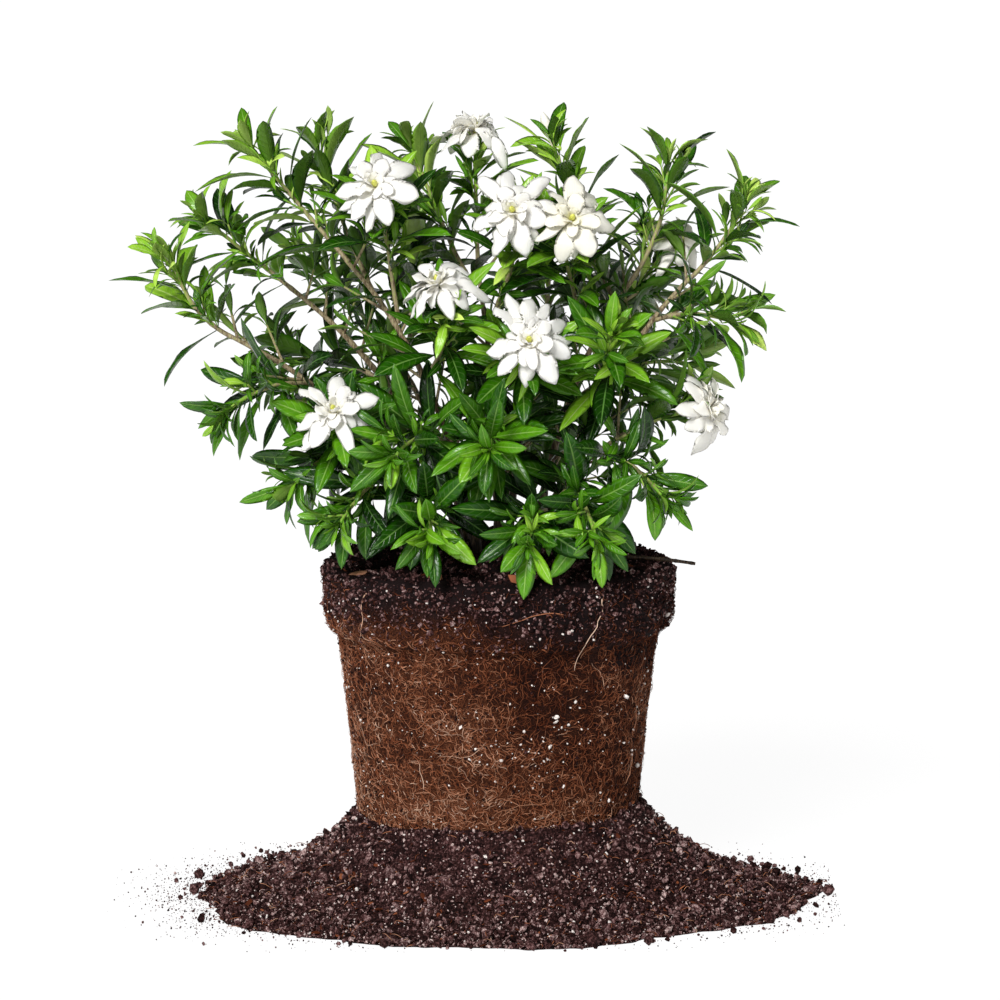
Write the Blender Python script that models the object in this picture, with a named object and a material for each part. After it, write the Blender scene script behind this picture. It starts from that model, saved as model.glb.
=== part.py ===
"""A flowering gardenia shrub on its root ball, as knocked out of a nursery pot, in a heap of loose soil.

Metres, +Z up. The origin is on the ground, on the axis of the root ball. -Y is the front.
The wood stands in sockets in the root ball, the leafy shoots grow from the wood, and the flowers from shoots.
Where pieces meet they keep a gap, so each is a solid of its own.
"""

import itertools
import math

import bpy
import numpy as np
from mathutils.bvhtree import BVHTree

MM = 0.001
GAP = 0.3 * MM  # left between pieces that touch
UP = np.array([0.0, 0.0, 1.0])

# Root ball: a tapered block of roots and soil, with the wider band that the pot's rim leaves.
BALL_SIDES = 40
BALL_BASE_Z = 18 * MM
BALL_BASE_RADIUS = 99 * MM
BALL_FOOT_RADIUS = 101.5 * MM
BALL_FOOT_Z = 21 * MM
BALL_NECK_RADIUS = 122 * MM
BALL_NECK_Z = 207 * MM
BAND_LOWER_RADIUS = 131 * MM
BAND_LOWER_Z = 212 * MM
BAND_UPPER_RADIUS = 135 * MM
BAND_UPPER_Z = 251 * MM
BAND_LIP_RADIUS = 130 * MM
BAND_LIP_Z = 257 * MM
CROWN_RADIUS = 70 * MM
CROWN_RIM_Z = 265 * MM
CROWN_Z = 268 * MM

# Soil heap: a low cone with a dish that holds the ball's foot.
HEAP_CREST_Z = 67.5 * MM
HEAP_WIDTH_RADIUS = 240 * MM
HEAP_DEPTH_RADIUS = 184 * MM
HEAP_EDGE = 1.5 * MM
HEAP_UNEVEN = 0.05
# (share of the way from the crest to the foot, height): the slope eases out at the foot.
HEAP_SLOPE = ((0.03, 68 * MM), (0.24, 38.5 * MM), (0.5, 16.5 * MM), (0.76, 6 * MM), (1.0, HEAP_EDGE))
DISH_CLEARANCE = 0.5 * MM

# Wood and shoots.
SOCKET_DEPTH = 16 * MM
SOCKET_LENGTH = 31 * MM  # of the cutter, well past the soil
SOCKET_CLEARANCE = 0.5 * MM
WOOD_BASE_RADIUS = 4.2 * MM
WOOD_TIP_RADIUS = 2.0 * MM
WOOD_SIDES = 7
WOOD_RINGS = 8
SHOOT_BASE_RADIUS = 1.7 * MM
SHOOT_TIP_RADIUS = 1.1 * MM
SHOOT_SIDES = 6
SHOOT_RINGS = 6
WHORL_SPACING = 17 * MM
LEAVES_PER_WHORL = 3
LEAF_LENGTH = 58 * MM
LEAF_WIDTH = 17 * MM
COLLAR = 1.8 * MM  # height of a leaf's foot on its shoot

# Leaves and petals: each goes from a base triangle, by its widest section, to a tip.
WIDEST = 0.52  # share of the length
BLADE_NECK = 0.7 * MM
BLADE_KEEL = 0.9 * MM
ROOT = 0.02  # what may lie in the bark, as a share of the way to the widest section
STALK = 0.12  # what may touch its own piece
# A leaf that has no room tries a turn round the shoot in radians, a lift in degrees and a shorter length.
LEAF_SHIFTS = ((0, 0, 1), (0.35, 4, 0.95), (-0.35, -6, 0.92), (0.15, 14, 0.8), (-0.2, -16, 0.75))

# Flowers.
FLOWER_SEEDS = 300
TUBE_LENGTH = 13 * MM
TUBE_FOOT_RADIUS = 1.3 * MM
TUBE_RADIUS = 2.6 * MM
TUBE_SIDES = 6
OUTER_PETALS = 7
OUTER_LENGTH = 35 * MM
OUTER_WIDTH = 15 * MM
OUTER_PITCH = 72  # degrees from the way the flower faces
OUTER_ARCH = 18
OUTER_SEAT = 2.5 * MM  # below the tube's mouth
INNER_PETALS = 5
INNER_LENGTH = 23 * MM
INNER_WIDTH = 13 * MM
INNER_PITCH = 42
INNER_ARCH = 24
INNER_SEAT = 1.2 * MM

# Twig: it lies on the ball's top and pokes out over the band.
TWIG_START = (96 * MM, -20 * MM, 263.6 * MM)
TWIG_BOW = (122 * MM, -24 * MM, 264.5 * MM)
TWIG_END = (149 * MM, -28 * MM, 259.5 * MM)
TWIG_RADIUS = 1.6 * MM
TWIG_END_RADIUS = 1.2 * MM

# Each woody stem: where it leaves the soil (x, y) and where it ends (x, y, z), in millimetres.
WOOD = {
    "stem_far_left": ((-30, -10), (-200, -28, 432)),
    "stem_left": ((-24, 16), (-150, 20, 458)),
    "stem_upper_left": ((-12, -20), (-112, -22, 488)),
    "stem_top": ((2, 8), (-14, 6, 478)),
    "stem_right": ((26, 8), (100, -4, 470)),
    "stem_far_right": ((36, -14), (146, -34, 478)),
    "stem_low_right": ((16, -34), (92, -66, 362)),
    "stem_back": ((8, 34), (36, 104, 432)),
    "stem_back_left": ((-22, 40), (-92, 100, 420)),
}

# Each shoot: its wood, how far along that it sits (1 is the end), its tip (x, y, z) in millimetres,
# and for a shoot that flowers the way the flower faces and how far its petals bend back, in degrees.
SHOOTS = {
    "shoot_far_left": ("stem_far_left", 1.0, (-240, -36, 486), None),
    "shoot_left_upper": ("stem_left", 1.0, (-218, 8, 514), None),
    "shoot_upper_left": ("stem_upper_left", 1.0, (-184, -14, 572), None),
    "shoot_upper_left_inner": ("stem_upper_left", 0.86, (-134, 24, 566), None),
    "shoot_flower_left": ("stem_upper_left", 0.72, (-88, -62, 540), ((-0.1, -0.85, 0.5), 25)),
    "shoot_top_left": ("stem_top", 0.86, (-64, 20, 568), None),
    "shoot_flower_top": ("stem_top", 1.0, (-17, -4, 568), ((0.0, -0.15, 1.0), 75)),
    "shoot_top_right": ("stem_right", 0.9, (42, 12, 570), None),
    "shoot_flower_centre": ("stem_top", 0.74, (14, -62, 523), ((-0.15, -0.9, 0.4), 20)),
    "shoot_flower_cream": ("stem_right", 0.72, (52, -64, 515), ((0.15, -0.85, 0.5), 35)),
    "shoot_right_upper": ("stem_right", 1.0, (128, 0, 556), None),
    "shoot_flower_behind": ("stem_right", 0.82, (124, 34, 486), ((0.5, -0.3, 0.8), 40)),
    "shoot_far_right": ("stem_far_right", 1.0, (184, -36, 532), None),
    "shoot_right_middle": ("stem_far_right", 0.8, (172, -56, 446), None),
    "shoot_flower_right": ("stem_low_right", 1.0, (142, -56, 378), ((0.85, -0.45, 0.1), 35)),
    "shoot_low_right": ("stem_low_right", 0.84, (120, -108, 324), None),
    "shoot_low_right_front": ("stem_low_right", 0.6, (72, -132, 296), None),
    "shoot_low_front": ("stem_low_right", 0.4, (22, -138, 292), None),
    "shoot_low_left_front": ("stem_far_left", 0.26, (-48, -132, 296), None),
    "shoot_low_left": ("stem_far_left", 0.36, (-116, -98, 302), None),
    "shoot_lower_left": ("stem_far_left", 0.5, (-152, -50, 322), None),
    "shoot_left_middle": ("stem_far_left", 0.74, (-196, -72, 384), None),
    "shoot_flower_low_left": ("stem_far_left", 0.6, (-118, -94, 374), ((-0.1, -0.75, 0.65), 20)),
    "shoot_centre_left": ("stem_upper_left", 0.34, (-74, -126, 356), None),
    "shoot_flower_middle": ("stem_upper_left", 0.56, (-40, -92, 464), ((-0.2, -0.5, 0.85), 45)),
    "shoot_flower_front": ("stem_top", 0.5, (22, -116, 433), ((0.05, -0.9, 0.42), 25)),
    "shoot_centre_right": ("stem_far_right", 0.56, (82, -114, 439), None),
    "shoot_centre": ("stem_top", 0.3, (-6, -141, 362), None),
    "shoot_back_left": ("stem_back_left", 1.0, (-152, 132, 476), None),
    "shoot_flower_back_left": ("stem_back_left", 0.78, (-70, 134, 498), ((-0.2, 0.8, 0.55), 25)),
    "shoot_back": ("stem_back", 1.0, (34, 148, 486), None),
    "shoot_flower_back": ("stem_back", 0.76, (96, 120, 440), ((0.4, 0.8, 0.5), 30)),
    "shoot_low_back": ("stem_back", 0.42, (30, 150, 334), None),
    "shoot_low_back_left": ("stem_back_left", 0.36, (-108, 122, 340), None),
    "shoot_left_back": ("stem_left", 0.62, (-172, 70, 398), None),
    "shoot_right_back": ("stem_right", 0.5, (146, 84, 398), None),
}


# ---------------------------------------------------------------- materials and meshes


def material(name, red, green, blue, roughness):
    made = bpy.data.materials.new(name)
    made.use_nodes = True
    shader = made.node_tree.nodes["Principled BSDF"]
    shader.inputs["Base Color"].default_value = (red, green, blue, 1)
    shader.inputs["Roughness"].default_value = roughness
    return made


def add_object(name, vertices, faces, finish=None):
    mesh = bpy.data.meshes.new(name)
    mesh.from_pydata([tuple(map(float, v)) for v in vertices], [], [tuple(map(int, f)) for f in faces])
    mesh.validate()
    made = bpy.data.objects.new(name, mesh)
    bpy.context.scene.collection.objects.link(made)
    if finish:
        mesh.materials.append(finish)
    return made


def unit(v):
    v = np.asarray(v, float)
    return v / np.linalg.norm(v)


def across(direction):
    """Two unit vectors at right angles to a direction and to each other, the first as upright as can be."""
    upright = UP if abs(direction[2]) < 0.95 else np.array([0.0, -1.0, 0.0])
    first = unit(upright - direction * (upright @ direction))
    return first, np.cross(direction, first)


def union(name, solids, finish):
    """One closed body from solids, each (vertices, faces), that reach into each other."""
    base = add_object(name, *solids[0], finish)
    helpers = bpy.data.collections.new(name + "_helpers")
    bpy.context.scene.collection.children.link(helpers)
    for vertices, faces in solids[1:]:
        helper = add_object(name + "_helper", vertices, faces)
        bpy.context.scene.collection.objects.unlink(helper)
        helpers.objects.link(helper)
    join = base.modifiers.new("Join", "BOOLEAN")
    join.operand_type = "COLLECTION"
    join.collection = helpers
    join.operation = "UNION"
    join.solver = "EXACT"
    joined = bpy.data.meshes.new_from_object(base.evaluated_get(bpy.context.evaluated_depsgraph_get()))
    base.modifiers.clear()
    base.data = joined
    base.data.materials.clear()
    base.data.materials.append(finish)
    for helper in list(helpers.objects):
        bpy.data.objects.remove(helper)
    bpy.data.collections.remove(helpers)
    return base


# ---------------------------------------------------------------- curves and tubes


class Curve:
    """A quadratic curve from start to end that leaves towards bow."""

    def __init__(self, start, bow, end):
        self.points = [np.asarray(p, float) for p in (start, bow, end)]

    def at(self, t):
        start, bow, end = self.points
        return (1 - t) ** 2 * start + 2 * t * (1 - t) * bow + t * t * end

    def along(self, t):
        start, bow, end = self.points
        return unit((1 - t) * (bow - start) + t * (end - bow))

    def length(self):
        steps = [self.at(t) for t in np.linspace(0, 1, 17)]
        return sum(np.linalg.norm(b - a) for a, b in zip(steps, steps[1:]))


def stations(curve, shares):
    """At each share of the curve: its point, its direction, and two unit vectors across it."""
    upper, _ = across(curve.along(shares[0]))
    for t in shares:
        direction = curve.along(t)
        upper = unit(upper - direction * (upper @ direction))
        yield curve.at(t), direction, upper, np.cross(direction, upper)


def ring_points(station, radius, sides):
    middle, _, upper, side = station
    angles = 2 * math.pi * (np.arange(sides) + 0.5) / sides
    return middle + radius * (np.outer(np.cos(angles), upper) + np.outer(np.sin(angles), side))


def tube(curve, start, end, start_radius, end_radius, sides, rings):
    """A closed round bar along the curve from one share of it to another, tapering."""
    vertices = []
    faces = [tuple(reversed(range(sides)))]
    radii = np.linspace(start_radius, end_radius, rings)
    for station, radius in zip(stations(curve, np.linspace(start, end, rings)), radii):
        vertices.extend(ring_points(station, radius, sides))
    for ring in range(rings - 1):
        for k in range(sides):
            here, after = ring * sides + k, ring * sides + (k + 1) % sides
            faces.append((here, after, after + sides, here + sides))
    faces.append(tuple((rings - 1) * sides + k for k in range(sides)))
    return vertices, faces


def turned(profile, sides, stretch=None):
    """A turned solid. The profile is (radius, z) from the top's middle to the bottom's middle."""
    vertices = [(0, 0, profile[0][1])]
    faces = []
    for number, (radius, z) in enumerate(profile[1:-1]):
        for k in range(sides):
            angle = 2 * math.pi * k / sides
            x, y, height = radius * math.cos(angle), radius * math.sin(angle), z
            if stretch:
                x, y, height = stretch(x, y, height, number)
            vertices.append((x, y, height))
    bottom = len(vertices)
    vertices.append((0, 0, profile[-1][1]))
    rings = len(profile) - 2
    for k in range(sides):
        after = (k + 1) % sides
        faces.append((0, 1 + k, 1 + after))
        for ring in range(rings - 1):
            upper, lower = 1 + ring * sides, 1 + (ring + 1) * sides
            faces.append((upper + k, lower + k, lower + after, upper + after))
        last = 1 + (rings - 1) * sides
        faces.append((bottom, last + after, last + k))
    return vertices, faces


# ---------------------------------------------------------------- leaves and petals


class Blade:
    """A leaf or petal: where it starts, which way it leaves, which way its upper face looks, its length and
    width, and the angle through which it arches away from that face."""

    def __init__(self, start, along, face, length, width, arch):
        self.start, self.along, self.face = start, unit(along), unit(face)
        self.length, self.width, self.arch = length, width, arch

    def middle(self, t):
        angle = self.arch * t
        forward = math.sin(angle) / self.arch
        sink = (1 - math.cos(angle)) / self.arch
        return self.start + self.length * (forward * self.along - sink * self.face)

    def section(self, t, half, keel):
        """A thin triangle across the blade: left, right and the keel below."""
        side = np.cross(self.face, self.along)
        normal = math.cos(self.arch * t) * self.face + math.sin(self.arch * t) * self.along
        middle = self.middle(t)
        return np.array([middle - half * side, middle + half * side, middle - keel * normal])

    def solid(self, base=None, grow=0.0, beyond=0.0):
        """The closed solid from its base triangle, by its widest section, to its tip. It can be grown all
        round, and it can leave out the share beyond of the way to the widest section."""
        if base is None:
            base = self.section(0.0, BLADE_NECK, BLADE_KEEL)
        wide = self.section(WIDEST, self.width / 2 + grow, BLADE_KEEL + grow)
        base = base + beyond * (wide - base)
        if beyond:
            base = base + grow * unit((base - wide).mean(axis=0))
        tip = self.middle(1.0)
        wide[:2] += grow * self.face
        vertices = [*base, *wide, tip + grow * unit(tip - wide.mean(axis=0))]
        return vertices, [(0, 1, 2), *BLADE_SIDES]


# The faces of a blade round the way from its base (0, 1, 2), by its widest section (3, 4, 5), to its tip (6).
BLADE_SIDES = ((0, 3, 4, 1), (1, 4, 5, 2), (2, 5, 3, 0), (3, 6, 4), (4, 6, 5), (5, 6, 3))


def tree(solid):
    return BVHTree.FromPolygons([tuple(v) for v in solid[0]], solid[1])


class Taken:
    """The space that pieces already fill. A new blade must cross no other piece, and nothing of its own piece
    beyond its stalk."""

    def __init__(self):
        self.pieces = []  # the owner, the tree of the whole, and the tree of what its own blades must clear

    def add(self, owner, solid):
        whole = tree(solid)
        self.pieces.append((owner, whole, whole))

    def add_blade(self, owner, blade, base=None):
        self.pieces.append((owner, tree(blade.solid(base)), tree(blade.solid(base, beyond=STALK))))

    def clear_of_others(self, owner, blade, base=None):
        near = tree(blade.solid(base, grow=2 * GAP, beyond=ROOT))
        return not any(name != owner and near.overlap(whole) for name, whole, _ in self.pieces)

    def clear(self, owner, blade, base=None):
        far = tree(blade.solid(base, grow=GAP, beyond=STALK))
        own = (outer for name, _, outer in self.pieces if name == owner)
        return self.clear_of_others(owner, blade, base) and not any(far.overlap(outer) for outer in own)


def leaf_choices(station, t, turn, draw):
    """The places that a leaf may take, the best first. Draw is four numbers from -1 to 1."""
    start, direction, upper, side = station
    size = 0.62 + 0.45 * math.sin(math.pi * min(1.0, 0.2 + 0.8 * t)) + 0.12 * draw[0]
    for turn_more, lift, shrink in LEAF_SHIFTS:
        azimuth = turn + 0.25 * draw[1] + turn_more
        out = math.cos(azimuth) * upper + math.sin(azimuth) * side
        pitch = math.radians(62 - 36 * t**1.6 + 8 * draw[2] + lift)
        along = math.cos(pitch) * direction + math.sin(pitch) * out
        face = math.sin(pitch) * direction - math.cos(pitch) * out
        face = unit(face + 0.55 * (UP - along * (UP @ along)))
        length = LEAF_LENGTH * size * shrink
        width = LEAF_WIDTH * (0.35 + 0.65 * size) * (1 + 0.12 * draw[3])
        arch = math.radians(38 - 18 * t + 14 * draw[3])
        yield Blade(start + SHOOT_TIP_RADIUS * out, along, face, length, width, arch)


# ---------------------------------------------------------------- the pieces


def ball_profile():
    """(radius, z) of the root ball, top to bottom."""
    return [
        (0, CROWN_Z),
        (CROWN_RADIUS, CROWN_RIM_Z),
        (BAND_LIP_RADIUS, BAND_LIP_Z),
        (BAND_UPPER_RADIUS, BAND_UPPER_Z),
        (BAND_LOWER_RADIUS, BAND_LOWER_Z),
        (BALL_NECK_RADIUS, BALL_NECK_Z),
        (BALL_FOOT_RADIUS, BALL_FOOT_Z),
        (BALL_BASE_RADIUS, BALL_BASE_Z),
        (0, BALL_BASE_Z),
    ]


def make_root_ball(finish, wood_curves):
    ball = add_object("root_ball", *turned(ball_profile(), BALL_SIDES), finish)
    radius = WOOD_BASE_RADIUS + SOCKET_CLEARANCE
    for name, curve in wood_curves.items():
        below, above = -1.5 * GAP / curve.length(), SOCKET_LENGTH / curve.length()
        cutter = add_object(name + "_socket", *tube(curve, below, above, radius, radius, WOOD_SIDES, 2))
        cut = ball.modifiers.new(name, "BOOLEAN")
        cut.object = cutter
        cut.operation = "DIFFERENCE"
        cutter.hide_render = True
        cutter.display_type = "WIRE"


def heap_foot(angle):
    """How far the heap reaches at an angle: an oval with soft lobes."""
    lobes = 0.035 * math.sin(3 * angle + 0.7) + 0.025 * math.sin(5 * angle + 2.1) + 0.02 * math.sin(9 * angle)
    oval = HEAP_WIDTH_RADIUS * math.cos(angle) ** 2 + HEAP_DEPTH_RADIUS * math.sin(angle) ** 2
    return oval * (1 + lobes)


def make_soil_heap(finish):
    """The dish's floor and wall, then the slope from the crest to the foot, then the flat base."""
    wall_slope = (BALL_NECK_RADIUS - BALL_FOOT_RADIUS) / (BALL_NECK_Z - BALL_FOOT_Z)
    crest = BALL_FOOT_RADIUS + (HEAP_CREST_Z - BALL_FOOT_Z) * wall_slope + DISH_CLEARANCE
    dish = [
        (0, BALL_BASE_Z - GAP),
        (BALL_BASE_RADIUS + DISH_CLEARANCE / 2, BALL_BASE_Z - GAP),
        (BALL_FOOT_RADIUS + DISH_CLEARANCE, BALL_FOOT_Z),
        (crest, HEAP_CREST_Z),
    ]
    profile = [*dish, *HEAP_SLOPE, (1.0, 0.0), (0, 0.0)]

    def place(x, y, z, ring):
        """Past the dish, a ring's radius is its share of the way out, and the slope is a little uneven."""
        if ring < len(dish) - 1:
            return x, y, z
        angle = math.atan2(y, x)
        reach = crest + math.hypot(x, y) * (heap_foot(angle) - crest)
        on_slope = len(dish) - 1 < ring < len(dish) - 2 + len(HEAP_SLOPE)
        uneven = 1 + HEAP_UNEVEN * math.sin(7 * angle + ring) * on_slope
        return reach * math.cos(angle), reach * math.sin(angle), z * uneven

    add_object("soil_heap", *turned(profile, BALL_SIDES, place), finish)


def wood_curve(name):
    (x, y), end = WOOD[name]
    start = np.array([x * MM, y * MM, CROWN_Z - SOCKET_DEPTH])
    end = np.array(end) * MM
    bow = start + 0.5 * (end - start) * (0.45, 0.45, 1.25)
    return Curve(start, bow, end)


def shoot_curve(shoot, wood):
    """The shoot's line, and the share of it at which the shoot starts.

    It runs from the wood's middle to the shoot's tip. The shoot starts where its end face clears the bark.
    """
    _, place, tip, flower = SHOOTS[shoot]
    seat, tip = wood.at(place), np.array(tip) * MM
    reach = np.linalg.norm(tip - seat)
    if flower:
        bow = tip - 0.4 * reach * unit(flower[0])
    elif place == 1.0:
        bow = seat + 0.5 * reach * wood.along(1.0)
    else:
        rises = tip[2] - seat[2] > 0.25 * reach
        bow = (seat + tip) / 2 + UP * reach * (-0.12 if rises else 0.2)
    curve = Curve(seat, bow, tip)
    over = 1 + GAP / wood.length()
    bark = tree(tube(wood, 0, over, WOOD_BASE_RADIUS + GAP, WOOD_TIP_RADIUS + GAP, WOOD_SIDES, WOOD_RINGS))
    start = 0.0
    while tree(shoot_tube(curve, start)).overlap(bark):
        start += GAP / 3 / curve.length()
    return curve, start


def shoot_tube(curve, start):
    return tube(curve, start, 1.0, SHOOT_BASE_RADIUS, SHOOT_TIP_RADIUS, SHOOT_SIDES, SHOOT_RINGS)


def petals(heart, facing, lean, draws):
    """The outer petals stand out flat and bend back by lean, and the inner ones stand up round the middle."""
    first, second = across(facing)
    outer = (OUTER_LENGTH, OUTER_WIDTH, OUTER_PITCH, OUTER_ARCH + lean, OUTER_SEAT)
    inner = (INNER_LENGTH, INNER_WIDTH, INNER_PITCH, INNER_ARCH, INNER_SEAT)
    places = [(k / OUTER_PETALS, outer) for k in range(OUTER_PETALS)]
    places += [((k + 0.5) / INNER_PETALS, inner) for k in range(INNER_PETALS)]
    for (turn, (length, width, pitch, arch, seat)), draw in zip(places, draws):
        angle = 2 * math.pi * turn + 0.22 * draw[0]
        out = math.cos(angle) * first + math.sin(angle) * second
        pitch = math.radians(pitch + 8 * draw[1])
        arch = math.radians(arch) * (1 + 0.2 * draw[1])
        along = math.cos(pitch) * facing + math.sin(pitch) * out
        face = math.sin(pitch) * facing - math.cos(pitch) * out
        size = (length * (1 + 0.1 * draw[2]), width * (1 + 0.15 * draw[3]))
        yield Blade(heart - seat * facing, along, face, *size, arch)


def make_flower(name, curve, facing, lean, finish, taken, seed):
    """A flower's tube and petals, joined into one body at the end of its shoot."""
    facing = unit(facing)
    base = curve.at(1.0) + 1.2 * GAP * facing
    heart = base + TUBE_LENGTH * facing
    throat = Curve(base, (base + heart) / 2, heart)
    solids = [tube(throat, 0, 1, TUBE_FOOT_RADIUS, TUBE_RADIUS, TUBE_SIDES, 2)]
    draws = np.random.default_rng(seed).uniform(-1, 1, (OUTER_PETALS + INNER_PETALS, 4))
    for petal in petals(heart, facing, lean, draws):
        if taken.clear_of_others(name, petal):
            solids.append(petal.solid())
    for solid in solids:
        taken.add(name, solid)
    union(name, solids, finish)


def fitting_leaf(name, places, taken, base):
    """The first of a leaf's places that is clear."""
    for leaf in places:
        if taken.clear(name, leaf, base):
            taken.add_blade(name, leaf, base)
            return leaf
    return None


def make_shoot(name, curve, start, finish, taken, seed):
    """One closed mesh. The bar has a ring at each whorl, and a leaf grows from a triangle whose upper side is
    one side of that ring."""
    whorls = max(3, round(curve.length() / WHORL_SPACING))
    draws = np.random.default_rng(seed).uniform(-1, 1, (whorls, LEAVES_PER_WHORL, 4))
    first = max(0.16, start + 0.05)
    last = 0.9 if SHOOTS[name][3] else 0.97
    shares = [start, *(first + (last - first) * (np.arange(whorls) / (whorls - 1)) ** 0.85), 1.0]
    radii = SHOOT_BASE_RADIUS + (SHOOT_TIP_RADIUS - SHOOT_BASE_RADIUS) * np.array(shares)
    places = list(stations(curve, shares))
    vertices = []
    for station, radius in zip(places, radii):
        vertices.extend(ring_points(station, radius, SHOOT_SIDES))
    sides = range(SHOOT_SIDES)
    faces = [tuple(reversed(sides)), tuple((whorls + 1) * SHOOT_SIDES + k for k in sides)]
    for ring, k in itertools.product(range(1, whorls + 2), sides):
        low, low_after = ((ring - 1) * SHOOT_SIDES + i for i in (k, (k + 1) % SHOOT_SIDES))
        high, high_after = low + SHOOT_SIDES, low_after + SHOOT_SIDES
        leaf = None
        if ring <= whorls and (k + ring) % 2:
            fall = COLLAR / np.linalg.norm(vertices[high] - vertices[low])
            foot = (vertices[high] + vertices[high_after]) / 2 * (1 - fall)
            foot = foot + (vertices[low] + vertices[low_after]) / 2 * fall
            base = np.array([vertices[high], vertices[high_after], foot])
            turn = 2 * math.pi * (k + 1) / SHOOT_SIDES
            tries = leaf_choices(places[ring], shares[ring], turn, draws[ring - 1, k // 2])
            leaf = fitting_leaf(name, tries, taken, base)
        if leaf is None:
            faces.append((low, low_after, high_after, high))
            continue
        new = len(vertices)
        vertices.extend(leaf.solid(base)[0][2:])
        faces.append((low, low_after, high_after, new, high))
        index = [high, high_after, *range(new, new + 5)]
        faces.extend(tuple(index[i] for i in face) for face in BLADE_SIDES)
    add_object(name, vertices, faces, finish)


def main():
    for old in list(bpy.data.objects):
        bpy.data.objects.remove(old)
    soil = material("moist_soil", 0.055, 0.035, 0.032, 0.95)
    roots = material("root_mat", 0.16, 0.07, 0.04, 0.9)
    bark = material("woody_bark", 0.25, 0.17, 0.1, 0.8)
    leaf = material("glossy_leaf", 0.06, 0.25, 0.02, 0.35)
    petal = material("white_petal", 0.85, 0.84, 0.78, 0.5)

    wood_curves = {name: wood_curve(name) for name in WOOD}
    make_soil_heap(soil)
    make_root_ball(roots, wood_curves)
    twig = tube(Curve(TWIG_START, TWIG_BOW, TWIG_END), 0, 1, TWIG_RADIUS, TWIG_END_RADIUS, SHOOT_SIDES, 4)
    add_object("twig", *twig, bark)

    taken = Taken()
    taken.add("root_ball", turned(ball_profile(), BALL_SIDES))
    taken.add("twig", twig)
    for name, curve in wood_curves.items():
        wood = tube(curve, 0, 1, WOOD_BASE_RADIUS, WOOD_TIP_RADIUS, WOOD_SIDES, WOOD_RINGS)
        add_object(name, *wood, bark)
        taken.add(name, wood)
    shoot_curves = {name: shoot_curve(name, wood_curves[SHOOTS[name][0]]) for name in SHOOTS}
    for name, (curve, start) in shoot_curves.items():
        taken.add(name, shoot_tube(curve, start))
    for seed, (name, (curve, _)) in enumerate(shoot_curves.items()):
        if SHOOTS[name][3]:
            flower = name.replace("shoot_", "")
            make_flower(flower, curve, *SHOOTS[name][3], petal, taken, FLOWER_SEEDS + seed)
    for seed, (name, (curve, start)) in enumerate(shoot_curves.items()):
        make_shoot(name, curve, start, leaf, taken, seed)


main()
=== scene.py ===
"""A flowering gardenia shrub on its bare root ball, in a heap of loose potting soil."""

import math

import bpy
import numpy as np
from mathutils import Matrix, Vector


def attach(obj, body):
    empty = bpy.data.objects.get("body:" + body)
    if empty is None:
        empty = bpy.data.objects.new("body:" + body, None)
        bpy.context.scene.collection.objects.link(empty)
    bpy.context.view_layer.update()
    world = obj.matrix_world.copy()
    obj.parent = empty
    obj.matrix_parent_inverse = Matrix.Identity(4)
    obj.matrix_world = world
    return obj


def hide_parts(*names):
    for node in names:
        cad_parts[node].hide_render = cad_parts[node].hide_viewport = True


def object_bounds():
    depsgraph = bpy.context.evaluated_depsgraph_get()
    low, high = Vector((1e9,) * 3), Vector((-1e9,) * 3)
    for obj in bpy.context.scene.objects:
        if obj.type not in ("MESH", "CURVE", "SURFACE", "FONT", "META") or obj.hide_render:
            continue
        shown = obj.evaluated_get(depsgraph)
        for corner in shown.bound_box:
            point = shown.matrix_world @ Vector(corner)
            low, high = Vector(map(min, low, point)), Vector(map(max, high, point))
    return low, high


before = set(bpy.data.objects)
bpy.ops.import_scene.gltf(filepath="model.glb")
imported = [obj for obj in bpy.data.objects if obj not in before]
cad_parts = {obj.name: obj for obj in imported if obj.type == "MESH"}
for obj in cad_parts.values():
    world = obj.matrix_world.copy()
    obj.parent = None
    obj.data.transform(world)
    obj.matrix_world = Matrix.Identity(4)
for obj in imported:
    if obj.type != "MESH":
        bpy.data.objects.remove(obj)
cad_box = [list(corner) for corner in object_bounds()]
MM = 0.001

# ------------------------------------------------------------------------------------------------
# Soil heap. Damp peat and bark potting soil, poured out loose round the foot of the root ball.
# A lumpy cone carries many thousand separate crumbs, with white perlite, bark bits and fibres.


def linear(colour):
    """An sRGB hex colour as linear red, green, blue and alpha: (c + 0.055) / 1.055, to the power 2.4."""
    parts = np.array([int(colour[i : i + 2], 16) for i in (1, 3, 5)]) / 255
    low, high = parts / 12.92, ((parts + 0.055) / 1.055) ** 2.4
    return (*np.where(parts <= 0.04045, low, high), 1.0)


def node(material, kind, settings=None, **links):
    """Adds one node. A kind in capitals is an operation of the Math node. Settings are the node's own fields,
    and links are its inputs, by name or as _number: a value, a socket, or a node with one output."""
    sum_kind = {"operation": kind} if kind.isupper() else {}
    made = material.node_tree.nodes.new("ShaderNodeMath" if sum_kind else kind)
    for field, value in {**sum_kind, **(settings or {})}.items():
        setattr(made, field, value)
    for name, value in links.items():
        key = int(name[1:]) if name[0] == "_" else name.replace("_", " ")
        socket = made.inputs[key]
        if isinstance(value, bpy.types.Node):
            value = value.outputs[0]
        if isinstance(value, bpy.types.NodeSocket):
            material.node_tree.links.new(value, socket)
        else:
            socket.default_value = value
    return made


def ramp(material, factor, *stops):
    """A colour ramp through (place, hex colour) stops."""
    made = node(material, "ShaderNodeValToRGB", Fac=factor)
    elements = made.color_ramp.elements
    while len(elements) < len(stops):
        elements.new(0.5)
    for element, (place, colour) in zip(elements, stops):
        element.position = place
        element.color = linear(colour)
    return made.outputs["Color"]


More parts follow.
